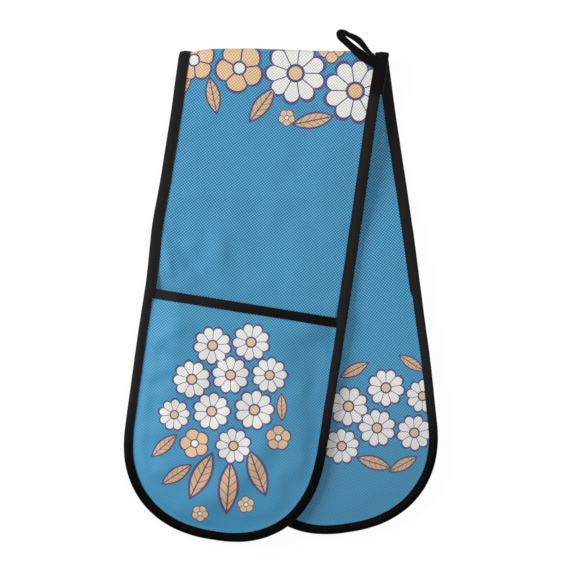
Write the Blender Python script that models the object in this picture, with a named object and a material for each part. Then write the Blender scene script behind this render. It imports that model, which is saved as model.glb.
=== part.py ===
"""A double oven glove, folded in half and laid flat with its two halves fanned apart.

The glove is one long padded strip with round ends. A hand pocket is sewn on the outer face of each
end, black bias binding runs round the strip and over the mouths of the pockets, and a tape loop at
the fold hangs it up. The back half lies on the table, lies low near the fold and climbs over its own
pocket underneath. The front half lies on it. Every layer of cloth and wadding is a piece of its own.

Units are metres, +Z is up and Y runs along the glove, with the fold at +Y.
"""

import math
from functools import partial

import bmesh
import bpy
from mathutils import Vector

# The strip
STRIP_WIDTH = 0.184
FRONT_CLOTH_LENGTH = 0.4505
BACK_CLOTH_LENGTH = 0.4436
FRONT_SIDE_BOW = 0.0013
BACK_SIDE_BOW = 0.0021
STRIP_THICKNESS = 0.0055
CLOTH_THICKNESS = 0.00035
EDGE_WADDING = 0.0006
STRIP_CROWN_RAMP = 0.032
END_REACH = 0.0949
END_SQUARENESS_SHARE = 2.33
END_SKEW = 0.0027

# The fold and the fan
LEAN_DEGREES = 8.14
FOLD_FLARE = 0.0012
FOLD_FLARE_REACH = 0.070

# The pockets
POCKET_MOUTH_FROM_FOLD = 0.2339
POCKET_MOUTH_SLANT_DEGREES = 0.7
POCKET_CAVITY = 0.0066
POCKET_PANEL_THICKNESS = 0.0026
POCKET_EDGE_WADDING = 0.0005
POCKET_CROWN_RAMP = 0.045
POCKET_CROWN_SHARE = 1.08

# How the back half lies
CLIMB_START = 0.092
CLIMB_END = 0.205

# The bias binding
BINDING_WIDTH = 0.0100
POCKET_BINDING_WIDTH = 0.0083
BINDING_TAPE = 0.0005
MOUTH_BINDING_WIDTH = 0.0088
MOUTH_ROW_MARGIN = 0.0012
END_TAB_TAPE = 0.0006
END_TAB_WIDTH = 0.0093
END_TAB_LOOSENESS = 0.0013
END_TAB_START = 0.0035
END_TAB_LENGTH = 0.0378

# The hanging loop
LOOP_TAPE_WIDTH = 0.0044
LOOP_TAPE_THICKNESS = 0.0016
LOOP_SLOT_WIDTH = 0.0060
LOOP_ROOT_GAP = 0.0008
LOOP_LENGTH = 0.0430
LOOP_RISE_DEGREES = 39.0
LOOP_ROOT_FROM_FOLD = 0.0113
LOOP_LIFT = 0.0007

# Clearance between pieces that are sewn or laid together
SEAM_GAP = 0.0003

# Mesh rows
FOLD_ROWS = 5
FLAT_ROWS = 10
POCKET_ROWS = 6
TAB_FLAT_ROWS = 3
END_SEGMENTS = 22
MOUTH_ROWS = (0, 1)
CROWN_STEPS = 4
SPINE_STEPS = 2
LOOP_LEG_STEPS = 8
LOOP_TIP_STEPS = 10
LOOP_SECTION_SIDES = 10

# How round the tape's folded corners and its flat section are
TAPE_CORNER_SHARE = 0.6
LOOP_SECTION_SHARE = 0.6
SMOOTH_BELOW_DEGREES = 40

HALF_WIDTH = STRIP_WIDTH / 2
LEAN = math.radians(LEAN_DEGREES)
MOUTH_SLANT = math.tan(math.radians(POCKET_MOUTH_SLANT_DEGREES))
EDGE_INSET = BINDING_TAPE + SEAM_GAP

EDGE_STACK = 2 * CLOTH_THICKNESS + 2 * SEAM_GAP + EDGE_WADDING
EDGE_DRAW = (STRIP_THICKNESS - EDGE_STACK) / 2
PANEL_EDGE = 2 * CLOTH_THICKNESS + 2 * SEAM_GAP + POCKET_EDGE_WADDING
POCKET_LEVEL = STRIP_THICKNESS + POCKET_CAVITY + POCKET_PANEL_THICKNESS
POCKET_EDGE_LEVEL = STRIP_THICKNESS - EDGE_DRAW + SEAM_GAP + PANEL_EDGE

# Heights above the table
BACK_INNER_AT_FOLD = STRIP_THICKNESS
BACK_INNER_AT_POCKET = POCKET_LEVEL
FRONT_INNER = POCKET_LEVEL + SEAM_GAP
FOLD_CENTRE_HEIGHT = (BACK_INNER_AT_FOLD + FRONT_INNER) / 2
FOLD_INNER_RADIUS = (FRONT_INNER - BACK_INNER_AT_FOLD) / 2
FOLD_OUTER_RADIUS = FOLD_INNER_RADIUS + STRIP_THICKNESS
FOLD_ARC = (FOLD_INNER_RADIUS + STRIP_THICKNESS / 2) * math.pi / 2

# Finishes, each a linear colour and a roughness
PRINTED_CLOTH = (0.074, 0.283, 0.468), 0.85
PRINTED_CLOTH_INSIDE = (0.060, 0.243, 0.402), 0.85
WADDING = (0.72, 0.71, 0.67), 0.95
LINING = (0.60, 0.62, 0.62), 0.9
BLACK_TAPE = (0.012, 0.012, 0.011), 0.55


class Half:
    """One half of the folded strip: which way its outer face looks, which way it leans, its outline."""

    def __init__(self, name, outward, lean_side, cloth_length, side_bow):
        self.name = name
        self.outward = outward
        self.lean_side = lean_side
        self.side_bow = side_bow
        self.end_centre = cloth_length - END_REACH

    def bow(self, along):
        """How much further out the half's sides stand here than at the round end.

        The strip is a little wider where it is pressed flat at the fold.
        """
        share = min(1, max(0, along / self.end_centre))
        near = max(0, 1 - along / FOLD_FLARE_REACH)
        return self.side_bow * math.sin(math.pi * share) + FOLD_FLARE * near * near * (3 - 2 * near)

    def inner_height(self, along):
        """Height of the half's inner face above the table, at a distance along the cloth from the fold."""
        if self.outward > 0:
            return FRONT_INNER
        share = min(1, max(0, (along - CLIMB_START) / (CLIMB_END - CLIMB_START)))
        rise = share * share * (3 - 2 * share)
        return BACK_INNER_AT_FOLD + (BACK_INNER_AT_POCKET - BACK_INNER_AT_FOLD) * rise

    def place(self, across, along, level):
        """World point of a cloth point: across and along the strip, and level out from its inner face."""
        side = self.lean_side
        x = across * math.cos(LEAN) - side * along * math.sin(LEAN)
        from_fold = along * math.cos(LEAN) + side * across * math.sin(LEAN)
        if from_fold >= FOLD_ARC:
            height = self.inner_height(along) + self.outward * level
            return Vector((x, FOLD_ARC - from_fold, height))
        angle = from_fold / FOLD_ARC * math.pi / 2
        radius = FOLD_INNER_RADIUS + level
        rise = radius * math.sin(angle) + SEAM_GAP / 2 * math.cos(angle)
        return Vector((x, radius * math.cos(angle), FOLD_CENTRE_HEIGHT + self.outward * rise))

    def fold_row(self, from_fold):
        """A row of cloth points parallel to the fold line, as (place on the middle, slope across)."""
        return from_fold / math.cos(LEAN), -self.lean_side * math.tan(LEAN)

    def mouth_row(self, further=0):
        """A row parallel to the pocket's mouth."""
        return POCKET_MOUTH_FROM_FOLD + further, self.lean_side * MOUTH_SLANT


FRONT = Half("front", 1, 1, FRONT_CLOTH_LENGTH, FRONT_SIDE_BOW)
BACK = Half("back", -1, -1, BACK_CLOTH_LENGTH, BACK_SIDE_BOW)


def between(first, last, share):
    """The row a share of the way from one row to another."""
    return tuple(a + (b - a) * share for a, b in zip(first, last))


def fold_rows(half):
    """Rows from the fold line to where the strip lies flat."""
    steps = range(FOLD_ROWS + 1)
    return [half.fold_row(FOLD_ARC * step / FOLD_ROWS) for step in steps]


def flat_rows(half):
    """Rows from the end of the fold's arc to the row before the pocket's mouth."""
    first, last = half.fold_row(FOLD_ARC), half.mouth_row()
    return [between(first, last, step / FLAT_ROWS) for step in range(1, FLAT_ROWS)]


def pocket_rows(half):
    """Rows from the pocket's mouth to the centre of the round end."""
    settled = half.mouth_row(MOUTH_BINDING_WIDTH + MOUTH_ROW_MARGIN)
    centre = (half.end_centre, 0)
    rows = [between(settled, centre, step / (POCKET_ROWS - 1)) for step in range(POCKET_ROWS)]
    return [half.mouth_row(), *rows]


def crown(depth, ramp):
    """Share of its full swell that a padded layer has at a distance in from the finished edge."""
    share = min(1, max(0, (depth - BINDING_WIDTH - SEAM_GAP) / ramp))
    return math.sin(share * math.pi / 2)


def strip_inner(depth):
    """Level of the strip's inner face, which draws in towards the bound edge."""
    return EDGE_DRAW * (1 - crown(depth, STRIP_CROWN_RAMP))


def strip_outer(depth):
    """Level of the strip's outer face."""
    return STRIP_THICKNESS - strip_inner(depth)


def panel_thickness(depth):
    """Thickness of the pocket's three layers together."""
    return PANEL_EDGE + (POCKET_PANEL_THICKNESS - PANEL_EDGE) * crown(depth, POCKET_CROWN_RAMP)


def pocket_inner(depth, at_mouth):
    """Level of the face of the pocket's lining that the hand touches.

    The pocket swells in a crown that is flat where it meets the table. At its mouth it sits lower, by
    what the binding adds outside, and leaves room for the binding's inner fold over the strip.
    """
    swell = (POCKET_LEVEL * POCKET_CROWN_SHARE - POCKET_EDGE_LEVEL) * crown(depth, POCKET_CROWN_RAMP)
    flat = POCKET_LEVEL - (EDGE_INSET if at_mouth else 0)
    inner = min(POCKET_EDGE_LEVEL + swell, flat) - panel_thickness(depth)
    return max(inner, strip_outer(depth) + EDGE_INSET + SEAM_GAP) if at_mouth else inner


def pocket_outer(depth, at_mouth):
    """Level of the pocket's outer face."""
    return pocket_inner(depth, at_mouth) + panel_thickness(depth)


def depth_steps(start):
    """Distances in from the finished edge to the middle of the strip, closest over the crown."""
    band = BINDING_WIDTH + SEAM_GAP
    crowned = [band + POCKET_CROWN_RAMP * step / CROWN_STEPS for step in range(CROWN_STEPS + 1)]
    rest = HALF_WIDTH - crowned[-1]
    middle = [crowned[-1] + rest * step / SPINE_STEPS for step in range(1, SPINE_STEPS + 1)]
    return [start, *crowned, *middle]


def end_angles():
    """Angles round the end, without the two where it meets the straight sides."""
    return [math.pi * (step / END_SEGMENTS - 0.5) for step in range(1, END_SEGMENTS)]


def rays(rows):
    """Lines from the edge inwards: down the left side, round the end and back up the right side."""
    left = [("side", -1, row) for row in rows]
    ends = [("end", 1, angle) for angle in end_angles()]
    right = [("side", 1, row) for row in reversed(rows)]
    return left + ends + right


def ray_point(half, ray, depth):
    """Across and along of the point at a depth on a ray."""
    kind, side, where = ray
    if kind == "side":
        middle, slope = where
        spread = (HALF_WIDTH - depth) / HALF_WIDTH
        across = side * (HALF_WIDTH - depth + half.bow(middle) * spread)
        return across, middle + slope * across
    power = 2 / END_SQUARENESS_SHARE
    across = (HALF_WIDTH - depth) * math.copysign(abs(math.sin(where)) ** power, where)
    reach = (END_REACH - depth) * math.cos(where) ** power
    skew = half.lean_side * END_SKEW * math.sin(where) * math.cos(where)
    return across, half.end_centre + reach + skew * (HALF_WIDTH - depth) / HALF_WIDTH


def new_object(name, mesh_data, finish):
    """Makes the object of a finished mesh, with its own plain material."""
    colour, roughness = finish
    mesh = bpy.data.meshes.new(name)
    mesh_data.to_mesh(mesh)
    mesh_data.free()
    material = bpy.data.materials.new(name)
    material.use_nodes = True
    shader = material.node_tree.nodes["Principled BSDF"]
    shader.inputs["Base Color"].default_value = (*colour, 1)
    shader.inputs["Roughness"].default_value = roughness
    shader.inputs["Metallic"].default_value = 0
    mesh.materials.append(material)
    mesh.shade_smooth()
    mesh.set_sharp_from_angle(angle=math.radians(SMOOTH_BELOW_DEGREES))
    piece = bpy.data.objects.new(name, mesh)
    bpy.context.scene.collection.objects.link(piece)
    return piece


def outward_faces(mesh_data):
    """Turns every face of a closed mesh to point out."""
    bmesh.ops.recalc_face_normals(mesh_data, faces=mesh_data.faces[:])
    volume = mesh_data.calc_volume(signed=True)
    if volume < 0:
        bmesh.ops.reverse_faces(mesh_data, faces=mesh_data.faces[:])


def layer(half, name, rows, lower, upper, finish):
    """A sheet or a wad that fills the strip's outline between two levels.

    lower and upper give a level from a depth and a row's number, which is None round the end.
    """
    data = bmesh.new()
    depths = depth_steps(EDGE_INSET)
    lines = rays(rows)
    row_numbers = [*range(len(rows)), *[None] * len(end_angles()), *reversed(range(len(rows)))]
    last_row = len(rows) - 1
    sheets = []
    for level in (lower, upper):
        spine = []
        for number, row in enumerate(rows):
            height = level(depths[-1], number)
            spine.append(data.verts.new(half.place(0, row[0], height)))
        grid = []
        for ray, number in zip(lines, row_numbers):
            points = []
            for depth in depths[:-1]:
                across, along = ray_point(half, ray, depth)
                points.append(data.verts.new(half.place(across, along, level(depth, number))))
            points.append(spine[last_row if number is None else number])
            grid.append(points)
        sheets.append((grid, spine))
    for grid, _ in sheets:
        for first, second in zip(grid, grid[1:]):
            for step in range(len(depths) - 1):
                corners = (first[step], second[step], second[step + 1], first[step + 1])
                add_triangles(data, corners)
    (low_grid, low_spine), (high_grid, high_spine) = sheets
    for first, second, over, above in zip(low_grid, low_grid[1:], high_grid, high_grid[1:]):
        add_triangles(data, (first[0], second[0], above[0], over[0]))
    low_edge = [*low_grid[0][:-1], *reversed(low_grid[-1])]
    high_edge = [*high_grid[0][:-1], *reversed(high_grid[-1])]
    for first, second, over, above in zip(low_edge, low_edge[1:], high_edge, high_edge[1:]):
        add_triangles(data, (first, second, above, over))
    outward_faces(data)
    return new_object(name, data, finish)


def add_triangles(data, corners):
    """Fills a four-cornered patch with two triangles, or with one where two corners are the same."""
    first, second, third, fourth = corners
    if second is not third:
        data.faces.new((first, second, third))
    if third is not fourth and fourth is not first:
        data.faces.new((first, third, fourth))


def sweep(sections):
    """Closed skin through a run of rings of world points, with both ends capped."""
    data = bmesh.new()
    rings = [[data.verts.new(point) for point in section] for section in sections]
    for ring, following in zip(rings, rings[1:]):
        for step in range(len(ring)):
            after = (step + 1) % len(ring)
            add_triangles(data, (ring[step], ring[after], following[after], following[step]))
    data.faces.new(rings[0])
    data.faces.new(rings[-1])
    outward_faces(data)
    return data


def tape_profile(start, width, under, over, tape):
    """Outline of a tape folded over an edge, as (depth, level) points.

    under and over are the lower and upper faces of what the tape wraps, and start is where it wraps.
    """
    low, high = under - SEAM_GAP - tape, over + SEAM_GAP + tape
    corner = tape * TAPE_CORNER_SHARE
    wrap = start + tape
    return [
        (width, low), (start + corner, low), (start, low + corner), (start, high - corner),
        (start + corner, high), (width, high), (width, high - tape), (wrap, high - tape),
        (wrap, low + tape), (width, low + tape),
    ]


def folded_tape(half, name, lines, tape, wraps, start):
    """Tape folded over the edge of the strip, swept along rays.

    wraps gives, for a ray's number, the tape's width and the lower and upper faces of what it wraps.
    """
    sections = []
    for number, ray in enumerate(lines):
        section = []
        for depth, level in tape_profile(start, *wraps(number), tape):
            across, along = ray_point(half, ray, depth)
            section.append(half.place(across, along, level))
        sections.append(section)
    return new_object(name, sweep(sections), BLACK_TAPE)


def build_strip(half, rows):
    """The strip's inner cloth, wadding and outer cloth."""
    skin = CLOTH_THICKNESS
    filling = skin + SEAM_GAP

    def inner(depth, row, further=0):
        return strip_inner(depth) + further

    def outer(depth, row, further=0):
        return strip_outer(depth) + further

    inner_skin = inner, partial(inner, further=skin)
    filled = partial(inner, further=filling), partial(outer, further=-filling)
    outer_skin = partial(outer, further=-skin), outer
    return [
        layer(half, half.name + "_inner_cloth", rows, *inner_skin, PRINTED_CLOTH_INSIDE),
        layer(half, half.name + "_wadding", rows, *filled, WADDING),
        layer(half, half.name + "_outer_cloth", rows, *outer_skin, PRINTED_CLOTH),
    ]


def build_pocket(half, rows):
    """The pocket's lining, wadding and outer cloth, from just inside its mouth binding."""
    skin = CLOTH_THICKNESS
    filling = skin + SEAM_GAP
    inset_rows = [half.mouth_row(EDGE_INSET), *rows[1:]]

    def inner(depth, row, further=0):
        return pocket_inner(depth, row in MOUTH_ROWS) + further

    def outer(depth, row, further=0):
        return pocket_outer(depth, row in MOUTH_ROWS) + further

    lined = inner, partial(inner, further=skin)
    filled = partial(inner, further=filling), partial(outer, further=-filling)
    outer_skin = partial(outer, further=-skin), outer
    return [
        layer(half, half.name + "_pocket_lining", inset_rows, *lined, LINING),
        layer(half, half.name + "_pocket_wadding", inset_rows, *filled, WADDING),
        layer(half, half.name + "_pocket_cloth", inset_rows, *outer_skin, PRINTED_CLOTH),
    ]


def build_mouth_binding(half):
    """Tape folded over the pocket's mouth, which ends against the binding of the strip's edge."""
    depths = depth_steps(EDGE_INSET)[1:]
    depths[0] += SEAM_GAP
    places = [(-1, depth) for depth in depths[:-1]] + [(1, depth) for depth in reversed(depths)]
    sections = []
    for side, depth in places:
        across, mouth = ray_point(half, ("side", side, half.mouth_row()), depth)
        faces = pocket_inner(depth, True), pocket_outer(depth, True)
        profile = tape_profile(0, MOUTH_BINDING_WIDTH, *faces, BINDING_TAPE)
        sections.append([half.place(across, mouth + further, level) for further, level in profile])
    return new_object(half.name + "_mouth_binding", sweep(sections), BLACK_TAPE)


def build_edge_binding(half, rows, mouth_number):
    """Tape folded over the strip's whole edge, which opens wider where the pocket is in it."""
    lines = rays(rows)

    def wraps(number):
        under, over = strip_inner(0), strip_outer(0)
        from_fold = min(number, len(lines) - 1 - number)
        if from_fold < mouth_number:
            return BINDING_WIDTH, under, over
        at_mouth = from_fold - mouth_number in MOUTH_ROWS
        width = BINDING_WIDTH if at_mouth else POCKET_BINDING_WIDTH
        return width, under, pocket_outer(0, at_mouth)

    return folded_tape(half, half.name + "_edge_binding", lines, BINDING_TAPE, wraps, 0)


def build_half(half):
    """Every layer of one half and its bindings."""
    to_mouth = fold_rows(half) + flat_rows(half)
    pocket = pocket_rows(half)
    rows = to_mouth + pocket
    mouth, edge = build_mouth_binding(half), build_edge_binding(half, rows, len(to_mouth))
    return [*build_strip(half, rows), *build_pocket(half, pocket), mouth, edge]


def build_end_tab():
    """The overlapped end of the edge binding, sewn over it on the right side near the fold."""
    start, stop = END_TAB_START, END_TAB_START + END_TAB_LENGTH
    in_arc = [FOLD_ARC * step / FOLD_ROWS for step in range(FOLD_ROWS + 1)]
    places = [start, *[place for place in in_arc if place > start]]
    flat = stop - FOLD_ARC
    places += [FOLD_ARC + flat * step / TAB_FLAT_ROWS for step in range(1, TAB_FLAT_ROWS + 1)]
    lines = [("side", 1, FRONT.fold_row(place)) for place in places]
    under, over = strip_inner(0) - EDGE_INSET, strip_outer(0) + EDGE_INSET

    def wraps(number):
        return END_TAB_WIDTH, under, over

    outer_fold = -END_TAB_TAPE - SEAM_GAP - END_TAB_LOOSENESS
    return folded_tape(FRONT, "binding_end_tab", lines, END_TAB_TAPE, wraps, outer_fold)


def loop_root():
    """Middle of the loop's sewn root, beside the tab and half its thickness below its joint's axis."""
    beside_tab = "side", 1, FRONT.fold_row(LOOP_ROOT_FROM_FOLD)
    on_edge = FRONT.place(*ray_point(FRONT, beside_tab, END_TAB_WIDTH + SEAM_GAP), strip_outer(0))
    top = FRONT_INNER + strip_outer(0) + EDGE_INSET
    height = top + LOOP_LIFT + LOOP_TAPE_THICKNESS / 2
    return Vector((on_edge.x, FOLD_ARC - LOOP_ROOT_FROM_FOLD, height))


def build_loop():
    """A flat tape bent into a teardrop, whose two ends meet the tab's inner edge."""
    root = loop_root()
    rise = math.radians(LOOP_RISE_DEGREES)
    out = Vector((-math.cos(rise), math.sin(rise), 0))
    side = Vector((math.sin(rise), math.cos(rise), 0))
    inward = Vector((-math.cos(LEAN), math.sin(LEAN), 0))
    wide = (LOOP_SLOT_WIDTH + LOOP_TAPE_WIDTH) / 2
    narrow = (LOOP_ROOT_GAP + LOOP_TAPE_WIDTH) / 2
    tip = LOOP_LENGTH - wide - LOOP_TAPE_WIDTH / 2
    path = []
    for step in range(LOOP_LEG_STEPS + 1):
        share = step / LOOP_LEG_STEPS
        spread = narrow + (wide - narrow) * math.sin(share * math.pi / 2)
        path.append((tip * share, spread))
    turn = [math.pi * step / LOOP_TIP_STEPS for step in range(1, LOOP_TIP_STEPS)]
    centre = path + [(tip + wide * math.sin(angle), wide * math.cos(angle)) for angle in turn]
    centre += [(place, -spread) for place, spread in reversed(path)]
    line = [root + out * place + side * spread for place, spread in centre]
    sections = []
    for number, point in enumerate(line):
        before, after = line[max(0, number - 1)], line[min(len(line) - 1, number + 1)]
        heading = (after - before).normalized()
        cross = Vector((-heading.y, heading.x, 0))
        section = []
        for corner in range(LOOP_SECTION_SIDES):
            angle = 2 * math.pi * (corner + 0.5) / LOOP_SECTION_SIDES
            flat = math.copysign(abs(math.cos(angle)) ** LOOP_SECTION_SHARE, math.cos(angle))
            thick = math.copysign(abs(math.sin(angle)) ** LOOP_SECTION_SHARE, math.sin(angle))
            spot = point + cross * flat * LOOP_TAPE_WIDTH / 2
            spot = spot + Vector((0, 0, thick * LOOP_TAPE_THICKNESS / 2))
            if number in (0, len(line) - 1):
                reach = (root - spot).dot(inward)
                spot = spot + out * (reach / out.dot(inward))
            section.append(spot)
        sections.append(section)
    return new_object("hanging_loop", sweep(sections), BLACK_TAPE)


def shift_to_origin():
    """Move that centres the footprint over the origin and stands the glove on the table."""
    corners = [vertex.co for piece in bpy.context.scene.objects for vertex in piece.data.vertices]
    shift_x = -(min(corner.x for corner in corners) + max(corner.x for corner in corners)) / 2
    shift_y = -(min(corner.y for corner in corners) + max(corner.y for corner in corners)) / 2
    return Vector((shift_x, shift_y, -min(corner.z for corner in corners)))


def hang_on_axis(pieces, name, pivot, shift):
    """Parents pieces to an empty at a pivot on their joint's axis, which the shift then moves."""
    empty = bpy.data.objects.new(name, None)
    empty.location = pivot + shift
    bpy.context.scene.collection.objects.link(empty)
    for piece in pieces:
        for vertex in piece.data.vertices:
            vertex.co -= pivot
        piece.parent = empty


def main():
    """Clears the scene and builds the glove."""
    for old in list(bpy.data.objects):
        bpy.data.objects.remove(old)
    back = build_half(BACK)
    front = build_half(FRONT)
    front.append(build_end_tab())
    loop = build_loop()
    shift = shift_to_origin()
    hang_on_axis(back, "table_origin", Vector((0, 0, 0)), shift)
    hang_on_axis(front, "fold_axis", Vector((0, FOLD_OUTER_RADIUS, FOLD_CENTRE_HEIGHT)), shift)
    loop_axis = loop_root() + Vector((0, 0, LOOP_TAPE_THICKNESS / 2))
    hang_on_axis([loop], "loop_axis", loop_axis, shift)


main()
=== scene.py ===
"""A double oven glove, dressed for a studio photograph from straight above.

The glove is one long printed, padded strip, folded in half and laid flat with its halves fanned apart.
Cloth points are given by where they are across the strip, how far they run from the fold, and how far
out they stand from the strip's inner face. FoldedStrip turns them into places in the room, so every
layer, binding and stitch follows the same fold. Units are metres.
"""

import logging
import math
from collections.abc import Callable, Sequence
from dataclasses import dataclass, replace
from enum import Enum

import bmesh
import bpy
import numpy as np
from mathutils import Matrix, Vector, noise


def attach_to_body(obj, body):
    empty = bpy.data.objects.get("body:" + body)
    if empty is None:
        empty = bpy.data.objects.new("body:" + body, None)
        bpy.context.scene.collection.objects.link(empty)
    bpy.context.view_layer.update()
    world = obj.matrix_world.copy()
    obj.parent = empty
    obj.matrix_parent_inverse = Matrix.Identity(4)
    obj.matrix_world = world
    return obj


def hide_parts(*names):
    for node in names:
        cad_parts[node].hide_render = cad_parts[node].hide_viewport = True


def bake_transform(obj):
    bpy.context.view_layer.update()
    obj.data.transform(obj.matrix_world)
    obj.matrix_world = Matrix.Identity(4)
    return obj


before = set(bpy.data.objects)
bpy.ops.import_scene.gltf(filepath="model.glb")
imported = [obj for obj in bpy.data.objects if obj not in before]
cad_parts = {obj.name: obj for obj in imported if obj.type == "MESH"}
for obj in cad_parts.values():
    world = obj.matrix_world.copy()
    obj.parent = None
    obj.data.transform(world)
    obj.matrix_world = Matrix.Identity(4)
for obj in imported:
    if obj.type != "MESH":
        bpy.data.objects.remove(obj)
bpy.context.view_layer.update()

LOG = logging.getLogger("oven_glove")
Array = np.ndarray
Material = bpy.types.Material
NodeTree = bpy.types.NodeTree
Piece = bpy.types.Object
LevelField = Callable[[Array, Array, Array], Array]
Pair = tuple[Array, Array]

EDGE = np.array(0.0)
UPWARDS = 0.001
CREASE_ANGLE = math.radians(42)


class Side(Enum):
    """Which half of the folded strip: the front one on top, or the back one under it."""

    FRONT = 1
    BACK = -1


class Motif(Enum):
    """The shapes that the cloth's print is made of."""

    DAISY = 0
    ROUND = 1
    LEAF = 2


@dataclass(frozen=True)
class StripSizes:
    """The strip and how it lies."""

    width: float = 0.184
    front_length: float = 0.4505
    back_length: float = 0.4436
    front_bow: float = 0.0013
    back_bow: float = 0.0021
    end_reach: float = 0.0949
    end_skew: float = 0.0027
    thickness: float = 0.0055
    cloth: float = 0.00035
    edge_wadding: float = 0.0006
    crown_ramp: float = 0.032
    squareness: float = 2.33
    lean: float = math.radians(8.14)
    flare: float = 0.0012
    flare_reach: float = 0.070
    climb: tuple[float, float] = (0.092, 0.205)
    seam_gap: float = 0.0003
    shift: tuple[float, float] = (0.00048849, 0.20298468)
    overlap: float = 0.060
    bend: tuple[float, float] = (0.0062, 0.0143)


@dataclass(frozen=True)
class Waver:
    """A soft bump in one side of the strip, outwards where height is above 0."""

    side: int
    middle: float
    height: float
    reach: float


FRONT_WAVERS = (Waver(-1, 0.172, 0.00125, 0.028), Waver(-1, 0.234, -0.0007, 0.026))
BACK_WAVERS = (Waver(1, 0.302, 0.0007, 0.034),)


@dataclass(frozen=True)
class PocketSizes:
    """The hand pocket on the outer face of each end."""

    mouth: float = 0.2339
    slant: float = math.tan(math.radians(0.7))
    cavity: float = 0.0066
    panel: float = 0.0026
    edge_wadding: float = 0.0005
    ramp: float = 0.036
    swell: float = 1.08
    settle: tuple[float, float] = (0.0100, 0.0240)
    binding: float = 0.0083


@dataclass(frozen=True)
class TapeSizes:
    """A tape folded over an edge."""

    width: float
    thickness: float = 0.0005
    roll: float = 0.0024
    pillow: float = 0.00050
    stitch_inset: float = 0.0026
    stitch_dip: float = 0.00046
    waver: float = 0.0003


EDGE_TAPE = TapeSizes(width=0.0100)
MOUTH_TAPE = TapeSizes(width=0.0088, roll=0.0016)
TAB_TAPE = TapeSizes(width=0.0093, thickness=0.0006, waver=0.0001)


@dataclass(frozen=True)
class StitchSizes:
    """A row of machine stitches, and how deep its thread lies in the cloth."""

    pitch: float = 0.0034
    length: float = 0.0026
    thread: float = 0.00034
    arch: float = 0.0003
    sunk: float = 0.3


@dataclass(frozen=True)
class MeshSteps:
    """How closely the cloth's points lie."""

    run: float = 0.0032
    fold: float = 0.0011
    crown: float = 0.0026
    middle: float = 0.0038
    end: int = 84
    tape: float = 0.0022
    tape_end: int = 150
    coarse: int = 3


def linear(code: str) -> tuple[float, float, float, float]:
    """Linear colour of an sRGB hex code.

    Args:
        code: six hex digits.

    Returns:
        Red, green, blue and alpha, each from 0 to 1.
    """
    shares = [int(code[place : place + 2], 16) / 255 for place in (0, 2, 4)]
    parts = [s / 12.92 if s <= 0.04045 else ((s + 0.055) / 1.055) ** 2.4 for s in shares]
    return (*parts, 1.0)


def eased(value: Array, start: float, reach: float) -> Array:
    """Share of the way from start that a value has gone of a reach, eased between 0 and 1."""
    share = np.clip((value - start) / reach, 0, 1)
    return share * share * (3 - 2 * share)


def hump(value: Array, middle: float, reach: float) -> Array:
    """A soft bell of height 1."""
    return np.exp(-(((value - middle) / reach) ** 2))


def spaced(start: float, stop: float, pitch: float) -> list[float]:
    """Values from start to stop no further apart than pitch, both ends included."""
    count = max(1, math.ceil(abs(stop - start) / pitch))
    return [start + (stop - start) * float(share) for share in np.linspace(0, 1, count + 1)]


def wander(run: float, size: float, lane: float, seed: float) -> float:
    """Smooth noise from -1 to 1 along a run, with lumps of a size."""
    return noise.noise(Vector((run / size, lane, seed)))


def guide_line(spots: Sequence[Pair]) -> Pair:
    """One guide line for stitches, from its places and the way that the cloth faces at each."""
    places, ways = zip(*spots)
    return np.array(places), np.array(ways)


def running_lengths(points: Sequence[Array]) -> list[float]:
    """Distance run to each point of a line."""
    steps = np.linalg.norm(np.diff(np.array(points), axis=0), axis=1)
    return [0.0, *np.cumsum(steps).tolist()]


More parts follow.
